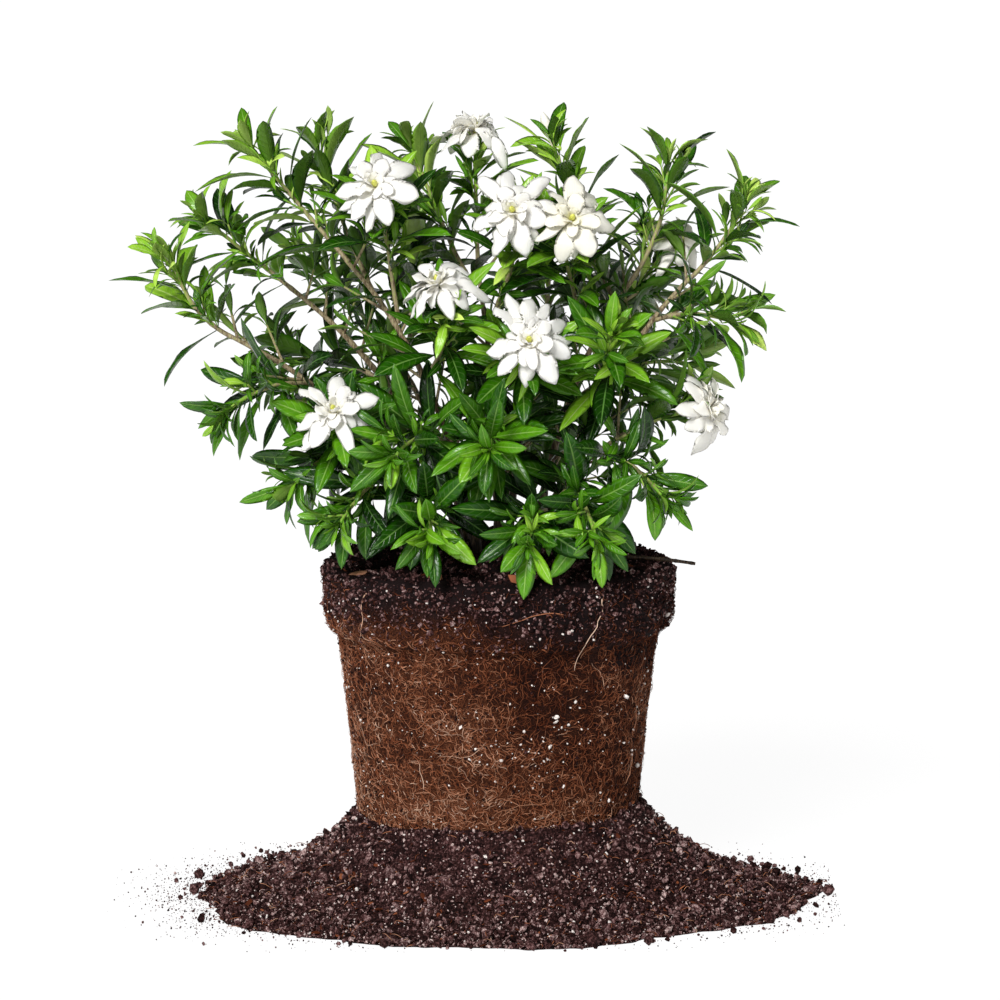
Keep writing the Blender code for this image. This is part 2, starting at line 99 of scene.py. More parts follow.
def new_material(name, **values):
    """A Principled material with plain values, and its shader."""
    made = bpy.data.materials.new(name)
    made.use_nodes = True
    shader = made.node_tree.nodes["Principled BSDF"]
    for key, value in values.items():
        shader.inputs[key.replace("_", " ")].default_value = value
    return made, shader


def wire(material, shader, name, socket):
    """Links a socket to one of the shader's inputs."""
    material.node_tree.links.new(socket, shader.inputs[name])


def noise(points, cell, seed):
    """Smooth noise from -1 to 1: random values on a lattice of that cell, blended with 3f^2 - 2f^3."""
    table = np.random.default_rng(seed).uniform(-1, 1, 4096)
    scaled = points / cell + 1000.0
    corner = np.floor(scaled).astype(np.int64)
    part = scaled - corner
    part = part * part * (3 - 2 * part)
    total = np.zeros(points.shape[:-1])
    for step in np.ndindex(2, 2, 2):
        at = corner + step
        key = at[..., 0] * 73856093 ^ at[..., 1] * 19349663 ^ at[..., 2] * 83492791
        weight = np.where(step, part, 1 - part).prod(axis=-1)
        total += weight * table[key & 4095]
    return total


def add_piece(name, points, faces, material, uv=None, smooth=True, **attributes):
    """A mesh object from arrays, with its material. Uv and the attributes are given per point."""
    mesh = bpy.data.meshes.new(name)
    faces = [list(face) for group in faces for face in group.tolist()]
    mesh.from_pydata(points.reshape(-1, 3).tolist(), [], faces)
    mesh.materials.append(material)
    corners = np.zeros(len(mesh.loops), np.int32)
    mesh.loops.foreach_get("vertex_index", corners)
    if uv is not None:
        mesh.uv_layers.new(name="UVMap").data.foreach_set("uv", uv.reshape(-1, 2)[corners].ravel())
    for key, values in attributes.items():
        layer = mesh.attributes.new(key, "FLOAT", "POINT")
        layer.data.foreach_set("value", np.asarray(values, np.float32).ravel())
    mesh.polygons.foreach_set("use_smooth", np.full(len(mesh.polygons), smooth))
    mesh.update()
    made = bpy.data.objects.new(name, mesh)
    bpy.context.scene.collection.objects.link(made)
    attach(made, "root")
    return made


# An icosahedron, the start of every crumb and grain: its corners are the cyclic turns of (0, 1, golden).
GOLDEN = (1 + math.sqrt(5)) / 2
ICO = np.array([np.roll((0, a, b * GOLDEN), turn) for turn in range(3) for a in (-1, 1) for b in (-1, 1)])
ICO /= math.hypot(1, GOLDEN)
# Its edges are 1.05 long, and its other gaps are longer, so three corners this close make a face.
EDGE_LIMIT = 1.1
ICO_GAPS = np.linalg.norm(ICO[:, None] - ICO, axis=-1)
ICO_FACES = np.array([
    (i, j, k) if np.dot(np.cross(ICO[j] - ICO[i], ICO[k] - ICO[i]), ICO[i]) > 0 else (i, k, j)
    for i in range(12) for j in range(i + 1, 12) for k in range(j + 1, 12)
    if max(ICO_GAPS[i, j], ICO_GAPS[j, k], ICO_GAPS[i, k]) < EDGE_LIMIT
])


# An octahedron, for the finest grains.
OCTA = np.array([[1, 0, 0], [0, 1, 0], [0, 0, 1], [-1, 0, 0], [0, -1, 0], [0, 0, -1]], float)
OCTA_FACES = np.array([
    (0, 1, 2), (1, 3, 2), (3, 4, 2), (4, 0, 2), (1, 0, 5), (3, 1, 5), (4, 3, 5), (0, 4, 5),
])


def grains(places, radii, seed, rough=0.25, flat=0.35, fine=False):
    """Irregular grains: an icosahedron at each place, or an octahedron for fine ones, turned at random, its
    corners moved in and out by rough, and squeezed by up to flat along its own axes. Returns the points and
    the triangles."""
    draw = np.random.default_rng(seed)
    count = len(places)
    turns = np.linalg.qr(draw.normal(size=(count, 3, 3)))[0]
    turns[np.linalg.det(turns) < 0] *= -1
    solid, faces = (OCTA, OCTA_FACES) if fine else (ICO, ICO_FACES)
    corners = len(solid)
    shape = solid * (1 + rough * draw.uniform(-1, 1, (count, corners, 1)))
    shape = shape * (1 - flat * draw.uniform(0, 1, (count, 1, 3)))
    points = places[:, None] + radii[:, None, None] * np.einsum("nij,nkj->nki", turns, shape)
    return points, faces + corners * np.arange(count)[:, None, None]


def grain_piece(name, places, radii, seed, material, tone, **shape):
    """One piece of many grains, with a tone for each. No grain goes below the floor."""
    points, faces = grains(places, radii, seed, **shape)
    lift = np.maximum(0, -points[..., 2].min(axis=1))
    points[..., 2] += lift[:, None]
    tones = np.repeat(tone, points.shape[1])
    return add_piece(name, points, [faces.reshape(-1, 3)], material, smooth=False, tone=tones)


def lathe_faces(rings, sides):
    """The faces of a turned surface: a fan at each pole, and four-sided faces between the rings. The points
    are the top pole, the rings from the top down, then the bottom pole."""
    ring = 1 + sides * np.arange(rings - 1)[:, None] + np.arange(sides)
    after = 1 + sides * np.arange(rings - 1)[:, None] + (np.arange(sides) + 1) % sides
    quads = np.stack([ring, ring + sides, after + sides, after], axis=-1).reshape(-1, 4)
    around, next_one = 1 + np.arange(sides), 1 + (np.arange(sides) + 1) % sides
    top = np.stack([np.zeros(sides, int), around, next_one], axis=-1)
    last = 1 + sides * (rings - 1)
    end = np.full(sides, last + sides)
    bottom = np.stack([end, last + next_one - 1, last + around - 1], axis=-1)
    return [quads, top, bottom]


def on_ring(angle, radius, height):
    """Points at an angle and a radius round the upright axis, at a height."""
    return np.stack(np.broadcast_arrays(radius * np.cos(angle), radius * np.sin(angle), height), axis=-1)


def cad_mesh(name):
    """The corners of a node of the frame, each once, and its triangles."""
    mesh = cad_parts[name].data
    places = np.zeros(len(mesh.vertices) * 3)
    mesh.vertices.foreach_get("co", places)
    corners = np.zeros(len(mesh.loops), np.int32)
    mesh.loops.foreach_get("vertex_index", corners)
    merged, index = np.unique(np.round(places.reshape(-1, 3), 6), axis=0, return_inverse=True)
    return merged, index.ravel()[corners].reshape(-1, 3)


HEAP_CREST = 68 * MM
HEAP_SIDES = 360
DISH_RADIUS = 101 * MM
DISH_HEIGHT = 18.5 * MM
CREST_RADIUS = 106 * MM

heap_points, _ = cad_mesh("soil_heap")
outline = heap_points[(heap_points[:, 2] < 1 * MM) & (np.hypot(heap_points[:, 0], heap_points[:, 1]) > 0.1)]
outline_angle = np.arctan2(outline[:, 1], outline[:, 0])
outline_order = np.argsort(outline_angle)


def heap_foot(angle):
    """The heap's outline, read from its solid in the frame, with small ragged bays."""
    radius = np.hypot(outline[:, 0], outline[:, 1])[outline_order]
    reach = np.interp(angle, outline_angle[outline_order], radius, period=2 * math.pi)
    ragged = noise(on_ring(angle, 0.2, 0.0), 22 * MM, 4) + 0.5 * noise(on_ring(angle, 0.2, 0.0), 8 * MM, 5)
    return reach * (0.975 + 0.02 * ragged)


def heap_surface(angle, share):
    """The slope, from the crest (share 0) to the foot (share 1). Its height is crest * ((1 - share)^2.05 +
    0.03 (1 - share)), higher on the right, with lumps of three sizes that fade out at the foot."""
    radius = CREST_RADIUS + share * (heap_foot(angle) - CREST_RADIUS)
    rise = 1 - share
    height = HEAP_CREST * (1 + 0.07 * np.cos(angle)) * (rise**2.05 + 0.03 * rise)
    place = on_ring(angle, radius, height)
    lumps = 3.6 * noise(place, 34 * MM, 6) + 2.4 * noise(place, 13 * MM, 7) + 1.3 * noise(place, 5 * MM, 8)
    place[..., 2] = np.maximum(height + MM * lumps * np.clip(6 * rise, 0, 1), 0.2 * MM)
    return place


# Damp potting soil: peat and composted bark, dark and matt. Each crumb has its own tone, and a speckle of
# about 2 mm on top of it.
soil, soil_shader = new_material("damp_potting_soil", Roughness=0.85, Specular_IOR_Level=0.10)
tone = node(soil, "ShaderNodeAttribute", {"attribute_name": "tone"})
place = node(soil, "ShaderNodeTexCoord").outputs["Object"]
grain = node(soil, "ShaderNodeTexNoise", Vector=place, Scale=520.0, Detail=3.0, Roughness=0.75)
mixed = node(soil, "MULTIPLY_ADD", _0=grain.outputs["Fac"], _1=2.0, _2=-1.0)
shade = node(soil, "ADD", _0=tone.outputs["Fac"], _1=mixed.outputs[0])
soil_colour = ramp(
    soil, shade.outputs[0],
    (0.0, "#0d0303"), (0.3, "#2e1816"), (0.55, "#5f4140"), (0.8, "#9a7f7c"), (1.0, "#d2bcb6"),
)
wire(soil, soil_shader, "Base Color", soil_colour)
bump = node(soil, "ShaderNodeBump", Strength=1.0, Distance=1.2 * MM, Height=grain.outputs["Fac"])
wire(soil, soil_shader, "Normal", bump.outputs["Normal"])

# Perlite: puffed volcanic glass, chalky and full of pores, so it is matt and off white. Its pores are drawn
# about 1 mm apart, coarser than real ones, so that they show.
perlite, perlite_shader = new_material("puffed_perlite", Roughness=0.8)
perlite_place = node(perlite, "ShaderNodeTexCoord").outputs["Object"]
pores = node(perlite, "ShaderNodeTexNoise", Vector=perlite_place, Scale=900.0, Detail=2.0)
perlite_colour = ramp(perlite, pores.outputs["Fac"], (0.3, "#a89a92"), (0.6, "#f0e8e2"))
wire(perlite, perlite_shader, "Base Color", perlite_colour)

# The heap's rings: a flat dish under the ball, the slope, and the flat underside.
angles = 2 * math.pi * np.arange(HEAP_SIDES) / HEAP_SIDES
dish = [on_ring(angles, DISH_RADIUS * k / 3, DISH_HEIGHT) for k in (1, 2, 3)]
slope = [heap_surface(angles, share) for share in np.linspace(0, 1, 96)]
under = [on_ring(angles, heap_foot(angles) * k / 3, 0.0) for k in (3, 2, 1)]
rings = np.array(dish + slope + under)
heap_rings = np.concatenate([[[0, 0, DISH_HEIGHT]], rings.reshape(-1, 3), [[0, 0, 0]]])
# The surface under the crumbs is given a dark tone, about 0.18 with mottling: painted shade in the gaps
# between the crumbs.
heap_gap_shade_tone = 0.18 + 0.16 * noise(heap_rings, 9 * MM, 9)
heap = add_piece("soil_heap_surface", heap_rings, lathe_faces(len(rings), HEAP_SIDES), soil, tone=heap_gap_shade_tone)
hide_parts("soil_heap")


def lognormal_radii(draw, count, middle, spread, least, most):
    """Grain radii: middle times e to the power of a normal number of that spread, kept within limits."""
    return np.clip(middle * np.exp(spread * draw.normal(size=count)), least, most)


def scatter_on_heap(seed, count, middle, spread, least, most):
    """Grains on the slope, spread evenly over its area, each sunk a little into it."""
    draw = np.random.default_rng(seed)
    angle = draw.uniform(-math.pi, math.pi, count)
    foot = heap_foot(angle)
    radius = np.sqrt(draw.uniform(CREST_RADIUS**2, foot**2))
    share = (radius - CREST_RADIUS) / (foot - CREST_RADIUS)
    radii = lognormal_radii(draw, count, middle * MM, spread, least * MM, most * MM)
    places = heap_surface(angle, share)
    places[:, 2] += 0.35 * radii
    return places, radii, draw


# Four sizes of crumb, each with its count, middle radius, spread and least and greatest radius in mm.
CRUMBS = (
    (12000, 0.95, 0.40, 0.45, 2.2),
    (9000, 1.30, 0.45, 0.6, 3.0),
    (3600, 2.1, 0.40, 1.0, 4.6),
    (130, 4.4, 0.25, 3.0, 6.8),
)
JAGGED = {"rough": 0.42, "flat": 0.62}
for number, (count, middle, spread, least, most) in enumerate(CRUMBS):
    places, radii, draw = scatter_on_heap(20 + number, count, middle, spread, least, most)
    tones = np.clip(draw.normal(0.52 - 0.06 * number, 0.30 - 0.06 * number, count), 0.0, 1.0)
    name = f"soil_crumbs_{number + 1}"
    crumbs = grain_piece(name, places, radii, 30 + number, soil, tones, fine=number < 2, **JAGGED)

PUFFED = {"rough": 0.3, "flat": 0.5}
HEAP_PERLITE = 760
places, radii, draw = scatter_on_heap(40, HEAP_PERLITE, 0.62, 0.50, 0.35, 2.3)
places[:, 2] += 0.3 * radii
heap_perlite = grain_piece("heap_perlite", places, radii, 41, perlite, np.ones(HEAP_PERLITE), **PUFFED)

# Loose soil that rolled off: clods beyond the foot, and a dusting swept out to the left and the right.
dust = np.random.default_rng(50)
DUST = 2600
side = np.where(dust.uniform(size=DUST) < 0.62, math.pi, 0.0)
dust_angle = side + dust.normal(0, 0.5, DUST)
dust_place = on_ring(dust_angle, heap_foot(dust_angle) * (0.97 + np.abs(dust.normal(0, 0.13, DUST))), 0.0)
dust_radii = lognormal_radii(dust, DUST, 0.42 * MM, 0.45, 0.2 * MM, 1.6 * MM)
CLODS = 130
clod_angle = dust.uniform(-math.pi, math.pi, CLODS)
clod_place = on_ring(clod_angle, heap_foot(clod_angle) * (1.0 + np.abs(dust.normal(0, 0.06, CLODS))), 0.0)
clod_radii = lognormal_radii(dust, CLODS, 1.9 * MM, 0.5, 0.9 * MM, 5.5 * MM)
loose = np.concatenate([dust_place, clod_place])
loose_radii = np.concatenate([dust_radii, clod_radii])
loose[:, 2] = 0.8 * loose_radii
# None lies more than 8 mm past the frame's box.
STRAY = 8 * MM
low, high = np.array(cad_box)
within = (loose - loose_radii[:, None] > low - STRAY) & (loose + loose_radii[:, None] < high + STRAY)
inside = within[:, :2].all(axis=1)
tones = np.clip(dust.normal(0.36, 0.15, inside.sum()), 0.02, 0.95)
scattered = grain_piece("scattered_soil", loose[inside], loose_radii[inside], 51, soil, tones)

# ------------------------------------------------------------------------------------------------
# Root ball. Potting mix held in the shape of the nursery pot by the plant's own roots, which matted
# against the wall. The wide band at the top was the pot's rim. It is crumbly there, fibrous below.

BALL_SIDES = 320
BALL_RINGS = 150
BAND_FOOT = 209 * MM


def along_profile(profile, count):
    """Points spread evenly by length along a profile of (radius, height) points."""
    profile = np.array(profile)
    length = np.concatenate([[0], np.cumsum(np.hypot(*np.diff(profile, axis=0).T))])
    wanted = np.linspace(0, length[-1], count)
    return np.interp(wanted, length, profile[:, 0]), np.interp(wanted, length, profile[:, 1])


# The ball's profile: its top, the rounded rim band, the step below it, the tapering wall and the foot.
ball_radius, ball_height = along_profile([
    (3 * MM, 267 * MM), (60 * MM, 266 * MM), (118 * MM, 260 * MM), (129 * MM, 257 * MM),
    (133.5 * MM, 250 * MM), (132 * MM, 232 * MM), (130 * MM, 214 * MM), (127 * MM, 209 * MM),
    (121 * MM, 206 * MM), (119.5 * MM, 196 * MM), (100.5 * MM, 22 * MM), (98 * MM, 18.6 * MM),
    (3 * MM, 18.6 * MM),
], BALL_RINGS)


def bump_out(place, height):
    """How far the ball's skin stands out. The band and top are lumpy, in lumps of four sizes. The wall below
    is fibrous, with shallow ridges that lean with the roots, and it bulges a little where roots are thick."""
    band = np.clip((height - BAND_FOOT + 5 * MM * noise(place, 15 * MM, 60)) / (8 * MM) + 0.5, 0, 1)
    lumps = 2.0 * noise(place, 26 * MM, 61) + 2.0 * noise(place, 12 * MM, 62)
    lumps = lumps + 1.5 * noise(place, 5.5 * MM, 63)
    lumps += 0.7 * noise(place, 2.8 * MM, 64)
    leaning = place @ np.array([[1, 0, 0], [0, 1, 0], [0.5, 0.3, 0.35]])
    wall = 0.9 * noise(place, 40 * MM, 65) + 0.8 * noise(leaning, 7 * MM, 66)
    wall = wall + 0.5 * noise(leaning, 3 * MM, 67)
    return MM * (band * (lumps - 0.5) + (1 - band) * (wall - 0.8))


def dark_share(place):
    """How much of the skin is dark, crumbly mix rather than root mat: all of the top, fading out below the
    band in ragged patches, lower on the right."""
    ragged = 16 * noise(place, 32 * MM, 71) + 8 * noise(place, 9 * MM, 72) + 4 * noise(place, 4 * MM, 73)
    right = np.clip(place[..., 0] / MM, -20, 110)
    return np.clip((place[..., 2] / MM - 214 + 0.34 * right + ragged) / 26, 0, 1)


def ball_skin(angle, radius, height):
    """The displaced skin at an angle, for a point of the profile. It moves out on the wall and up on the
    top. A hump of soil, exp(-(distance / 38 mm)^2) high, stands on the left, where stems leave it."""
    place = on_ring(angle, radius, height)
    out = bump_out(place, height)
    edge = np.clip((radius - 100 * MM) / (26 * MM), 0, 1) * (height > 19 * MM)
    apart = (place[..., 0] + 85 * MM) ** 2 + (place[..., 1] - 20 * MM) ** 2
    hump = 9 * MM * np.exp(-apart / (38 * MM) ** 2)
    fine = np.where(height > 240 * MM, out * (1 - 0.6 * edge) + hump * (1 - edge), 0)
    side = np.where((height > 240 * MM) & (edge < 1), edge, 1.0) * (height > 19 * MM) * out
    return place + on_ring(angle, side, fine)


# Matted roots: a felt of fine dry roots on dark mix, matt and red-brown, with flecks about 1.6 mm across.
# Where band is 1 it is crumbly potting mix, darker and greyer.
root_skin, root_shader = new_material("matted_roots", Roughness=0.85, Specular_IOR_Level=0.10)
band_share = node(root_skin, "ShaderNodeAttribute", {"attribute_name": "band"}).outputs["Fac"]
root_tone = node(root_skin, "ShaderNodeAttribute", {"attribute_name": "tone"}).outputs["Fac"]
root_place = node(root_skin, "ShaderNodeTexCoord").outputs["Object"]
fibre = node(
    root_skin, "ShaderNodeTexNoise",
    Vector=root_place, Scale=620.0, Detail=3.0, Roughness=0.75, Distortion=3.0,
)
fleck = node(root_skin, "MULTIPLY_ADD", _0=fibre.outputs["Fac"], _1=2.6, _2=-1.36)
root_shade = node(root_skin, "ADD", _0=root_tone, _1=fleck.outputs[0])
mat_colour = ramp(
    root_skin, root_shade.outputs[0],
    (0.0, "#180502"), (0.3, "#40200f"), (0.55, "#6e3f29"), (0.8, "#99674f"), (1.0, "#c69a82"),
)
band_colour = ramp(
    root_skin, root_shade.outputs[0],
    (0.0, "#120a0b"), (0.35, "#2b1b1a"), (0.65, "#45302c"), (0.9, "#6b5650"), (1.0, "#8c7b72"),
)
both = node(root_skin, "ShaderNodeMix", {"data_type": "RGBA"}, _0=band_share, _6=mat_colour, _7=band_colour)
wire(root_skin, root_shader, "Base Color", both.outputs[2])
root_bump = node(root_skin, "ShaderNodeBump", Strength=0.8, Distance=0.8 * MM, Height=fibre.outputs["Fac"])
wire(root_skin, root_shader, "Normal", root_bump.outputs["Normal"])


def wall_tone(place):
    """The wall's lightness: a little lighter low down, dark where wet mix was smeared down from the right of
    the band, and mottled all round in three sizes."""
    angle = np.arctan2(place[..., 1], place[..., 0])
    low = np.clip((170 * MM - place[..., 2]) / (120 * MM), 0, 1)
    smear = np.exp(-(((place[..., 0] - 60 * MM) + 0.55 * (place[..., 2] - 150 * MM)) / (42 * MM)) ** 2)
    smear = smear * (place[..., 1] < 0) + 0.6 * np.exp(-((angle - 1.9) / 0.25) ** 2)
    mottle = 0.10 * noise(place, 30 * MM, 68) + 0.10 * noise(place, 10 * MM, 69)
    mottle = mottle + 0.06 * noise(place, 4 * MM, 70)
    return 0.44 + 0.07 * low - 0.15 * smear - 0.22 * dark_share(place) + mottle


ball_angle = 2 * math.pi * np.arange(BALL_SIDES) / BALL_SIDES
ball_grid = ball_skin(ball_angle[None, :], ball_radius[:, None], ball_height[:, None])
ball_points = np.concatenate([[[0, 0, 267 * MM]], ball_grid.reshape(-1, 3), [[0, 0, 18.6 * MM]]])
# The skin is 0.20 darker than the wall's tone: the dark mix under the roots and crumbs, deepened by painted
# shade in the gaps between them.
root_ball = add_piece(
    "root_ball_skin", ball_points, lathe_faces(BALL_RINGS, BALL_SIDES), root_skin,
    tone=wall_tone(ball_points) - 0.20, band=dark_share(ball_points),
)
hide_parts("root_ball")


def wall_radius(height):
    """The profile's radius at a height on the band or the wall."""
    on_wall = ball_height < 258 * MM
    order = np.argsort(ball_height[on_wall])
    return np.interp(height, ball_height[on_wall][order], ball_radius[on_wall][order])


def loft(paths, widths, sides):
    """Round strands carried along many paths at once. Paths is (strands, points, 3), widths their radii,
    and each ring stands square to the path. Returns the rings, (strands, points, sides, 3)."""
    along = np.gradient(paths, axis=1)
    along /= np.linalg.norm(along, axis=-1, keepdims=True) + 1e-12
    helper = np.where(np.abs(along[:, :1, 2:]) < 0.8, [[[0.0, 0.0, 1.0]]], [[[1.0, 0.0, 0.0]]])
    across = np.cross(along, helper)
    across /= np.linalg.norm(across, axis=-1, keepdims=True) + 1e-12
    up = np.cross(along, across)
    turn = 2 * math.pi * np.arange(sides) / sides
    ring = across[:, :, None] * np.cos(turn)[:, None] + up[:, :, None] * np.sin(turn)[:, None]
    return paths[:, :, None] + widths[..., None, None] * ring


def tube_faces(strands, rings, sides):
    """The faces of closed tubes, laid out as (strand, ring, side): four-sided walls and a cap at each end."""
    first = np.arange(strands)[:, None, None] * rings * sides
    ring = first + sides * np.arange(rings - 1)[:, None] + np.arange(sides)
    after = first + sides * np.arange(rings - 1)[:, None] + (np.arange(sides) + 1) % sides
    walls = np.stack([ring, after, after + sides, ring + sides], axis=-1).reshape(-1, 4)
    start = first[:, 0] + np.arange(sides)[::-1]
    end = first[:, 0] + sides * (rings - 1) + np.arange(sides)
    return [walls, start, end]


def root_strands(seed, count, steps, reach, thick, heights, lift, curl):
    """Fine roots lying on the wall. Each sets off at an angle and a height, and wanders: its heading is a
    random walk. It follows the skin at a small height above it, dipping in at both ends."""
    draw = np.random.default_rng(seed)
    angle = draw.uniform(-math.pi, math.pi, count)
    height = draw.uniform(*heights, count)
    first = draw.normal(-1.2, 0.9, count) + math.pi * (draw.uniform(size=count) < 0.5)
    heading = first[:, None] + np.cumsum(draw.normal(0, curl, (count, steps)), axis=1)
    step = draw.uniform(0.5, 1.4, (count, 1)) * reach * MM / steps
    across = np.cumsum(step * np.cos(heading), axis=1)
    rise = np.clip(height[:, None] + np.cumsum(step * np.sin(heading), axis=1), 22 * MM, 256 * MM)
    radius = wall_radius(rise)
    around = angle[:, None] + across / radius
    skin = ball_skin(around, radius, rise)
    share = np.linspace(0, 1, steps)
    above = lift * MM * (0.3 + draw.uniform(0, 1, (count, 1))) * np.sin(math.pi * share) ** 0.5 - 0.15 * MM
    skin[..., :2] *= 1 + (above / radius)[..., None]
    widths = thick * MM * np.exp(draw.normal(0, 0.3, (count, 1))) * (1 - 0.6 * share)
    return skin, widths, draw


# Dry roots: bare fibres with a soft sheen. Old ones are red-brown, fresh ones tan to cream.
strand, strand_shader = new_material("dry_root", Roughness=0.7, Specular_IOR_Level=0.12)
strand_tone = node(strand, "ShaderNodeAttribute", {"attribute_name": "tone"}).outputs["Fac"]
strand_colour = ramp(
    strand, strand_tone,
    (0.0, "#240a04"), (0.3, "#62301a"), (0.55, "#975b3d"), (0.8, "#b6866a"), (1.0, "#e2c8b2"),
)
wire(strand, strand_shader, "Base Color", strand_colour)

# Each kind of root: how many, points along it, length, radius, least and greatest height, how far it stands
# off the skin (all in mm), how much it curls, and its middle tone.
STRAND_KINDS = {
    "wall_roots_curly_1": (5600, 5, 8, 0.27, (22, 214), 0.8, 0.55, 0.46),
    "wall_roots_curly_2": (5601, 5, 9, 0.25, (22, 214), 1.2, 0.50, 0.50),
    "wall_roots_curly_3": (5602, 5, 10, 0.24, (22, 214), 1.6, 0.60, 0.56),
    "wall_roots_fine": (1700, 9, 20, 0.21, (22, 212), 1.7, 0.60, 0.50),
    "wall_roots_long": (150, 14, 42, 0.24, (25, 208), 1.9, 0.34, 0.60),
    "wall_roots_thick": (24, 14, 46, 0.38, (30, 205), 1.7, 0.25, 0.48),
    "band_roots": (2200, 5, 10, 0.24, (196, 252), 2.4, 0.65, 0.44),
}
for name, (count, steps, reach, thick, heights, lift, curl, middle_tone) in STRAND_KINDS.items():
    low, high = (height * MM for height in heights)
    paths, widths, draw = root_strands(count, count, steps, reach, thick, (low, high), lift, curl)
    rings = loft(paths, widths, 3)
    here = wall_tone(paths[:, steps // 2])
    light = np.clip(draw.normal(middle_tone, 0.15, count) + 1.3 * (here - 0.42), 0.02, 0.90)
    tones = np.broadcast_to(light[:, None, None], rings.shape[:3])
    piece = add_piece(name, rings, tube_faces(count, steps, 3), strand, tone=tones)


def on_skin(seed, count, heights, radii, power=1.0):
    """Grains on the wall between two heights, sunk a little into the skin. A power under 1 crowds them
    towards the upper height."""
    draw = np.random.default_rng(seed)
    angle = draw.uniform(-math.pi, math.pi, count)
    height = heights[0] + (heights[1] - heights[0]) * draw.uniform(0, 1, count) ** power
    radius = wall_radius(height)
    skin = ball_skin(angle, radius, height)
    skin[:, :2] *= (1 + 0.25 * radii / radius)[:, None]
    return skin, draw


def top_skin(angle, radius):
    """The skin of the ball's top at an angle and a radius."""
    on_disc = ball_height > 256.5 * MM
    return ball_skin(angle, radius, np.interp(radius, ball_radius[on_disc], ball_height[on_disc]))


def on_top(seed, count, radii):
    """Grains on the ball's top, sunk a little into it."""
    draw = np.random.default_rng(seed)
    angle = draw.uniform(-math.pi, math.pi, count)
    radius = 127 * MM * np.sqrt(draw.uniform(0, 1, count))
    skin = top_skin(angle, radius)
    skin[:, 2] += 0.3 * radii
    return skin, draw


# Crumbs stand thick on the band and the top. Finer, darker ones and perlite grains are caught in the wall.
BAND_CRUMBS = 6200
TOP_CRUMBS = 4400
WALL_CRUMBS = 5200
WALL_PERLITE = 1100
draw = np.random.default_rng(80)
radii = lognormal_radii(draw, BAND_CRUMBS, 1.15 * MM, 0.42, 0.5 * MM, 3.4 * MM)
places, draw = on_skin(81, BAND_CRUMBS, (0.207, 0.257), radii, 0.6)
tones = np.clip(draw.normal(0.36, 0.20, BAND_CRUMBS), 0.0, 0.95)
band_crumbs = grain_piece("band_crumbs", places, radii, 82, soil, tones, **JAGGED)

radii = lognormal_radii(draw, TOP_CRUMBS, 1.5 * MM, 0.45, 0.6 * MM, 4.5 * MM)
places, draw = on_top(83, TOP_CRUMBS, radii)
tones = np.clip(draw.normal(0.26, 0.22, TOP_CRUMBS), 0.0, 0.9)
top_crumbs = grain_piece("top_crumbs", places, radii, 84, soil, tones, **JAGGED)

radii = lognormal_radii(draw, WALL_CRUMBS, 0.75 * MM, 0.35, 0.4 * MM, 1.8 * MM)
places, draw = on_skin(85, WALL_CRUMBS, (0.024, 0.207), radii * 2.4)
tones = np.clip(draw.normal(0.10, 0.12, WALL_CRUMBS), 0.0, 0.9)
wall_crumbs = grain_piece("wall_crumbs", places, radii, 86, soil, tones, fine=True)

radii = lognormal_radii(draw, WALL_PERLITE, 0.62 * MM, 0.55, 0.3 * MM, 2.8 * MM)
places, draw = on_skin(87, WALL_PERLITE, (0.022, 0.255), radii * 3)
wall_perlite = grain_piece("wall_perlite", places, radii, 88, perlite, np.ones(WALL_PERLITE), **PUFFED)

# A cluster of perlite shows at mid height on the front, right of the middle.
CLUSTER = 46
cluster = np.random.default_rng(89)
angle = np.arctan2(-100.0, cluster.normal(28, 22, CLUSTER))
height = cluster.normal(132, 16, CLUSTER) * MM
radii = lognormal_radii(cluster, CLUSTER, 0.9 * MM, 0.45, 0.4 * MM, 2.6 * MM)
places = ball_skin(angle, wall_radius(height) + 0.8 * MM, height)
wall_cluster = grain_piece(
    "wall_perlite_cluster", places, radii, 90, perlite, np.ones(CLUSTER), rough=0.4, flat=0.6,
)


def chips(name, places, lengths, seed, tones):
    """Flat, ragged chips of bark lying down, each turned at random and tilted a little."""
    draw = np.random.default_rng(seed)
    count = len(places)
    ragged = ICO * (1 + 0.25 * draw.uniform(-1, 1, (count, 12, 1)))
    shape = ragged * np.array([0.5, 0.27, 0.08]) * lengths[:, None, None]
    turn = draw.uniform(0, 6.3, (count, 1))
    x = shape[..., 0] * np.cos(turn) - shape[..., 1] * np.sin(turn)
    y = shape[..., 0] * np.sin(turn) + shape[..., 1] * np.cos(turn)
    z = shape[..., 2] + draw.normal(0, 0.35, (count, 1)) * x + draw.normal(0, 0.35, (count, 1)) * y
    points = places[:, None] + np.stack([x, y, z], axis=-1)
    points[..., 2] += np.maximum(0, 0.1 * MM - points[..., 2].min(axis=1))[:, None]
    faces = ICO_FACES + 12 * np.arange(count)[:, None, None]
    return add_piece(name, points, [faces.reshape(-1, 3)], strand, smooth=False, tone=np.repeat(tones, 12))


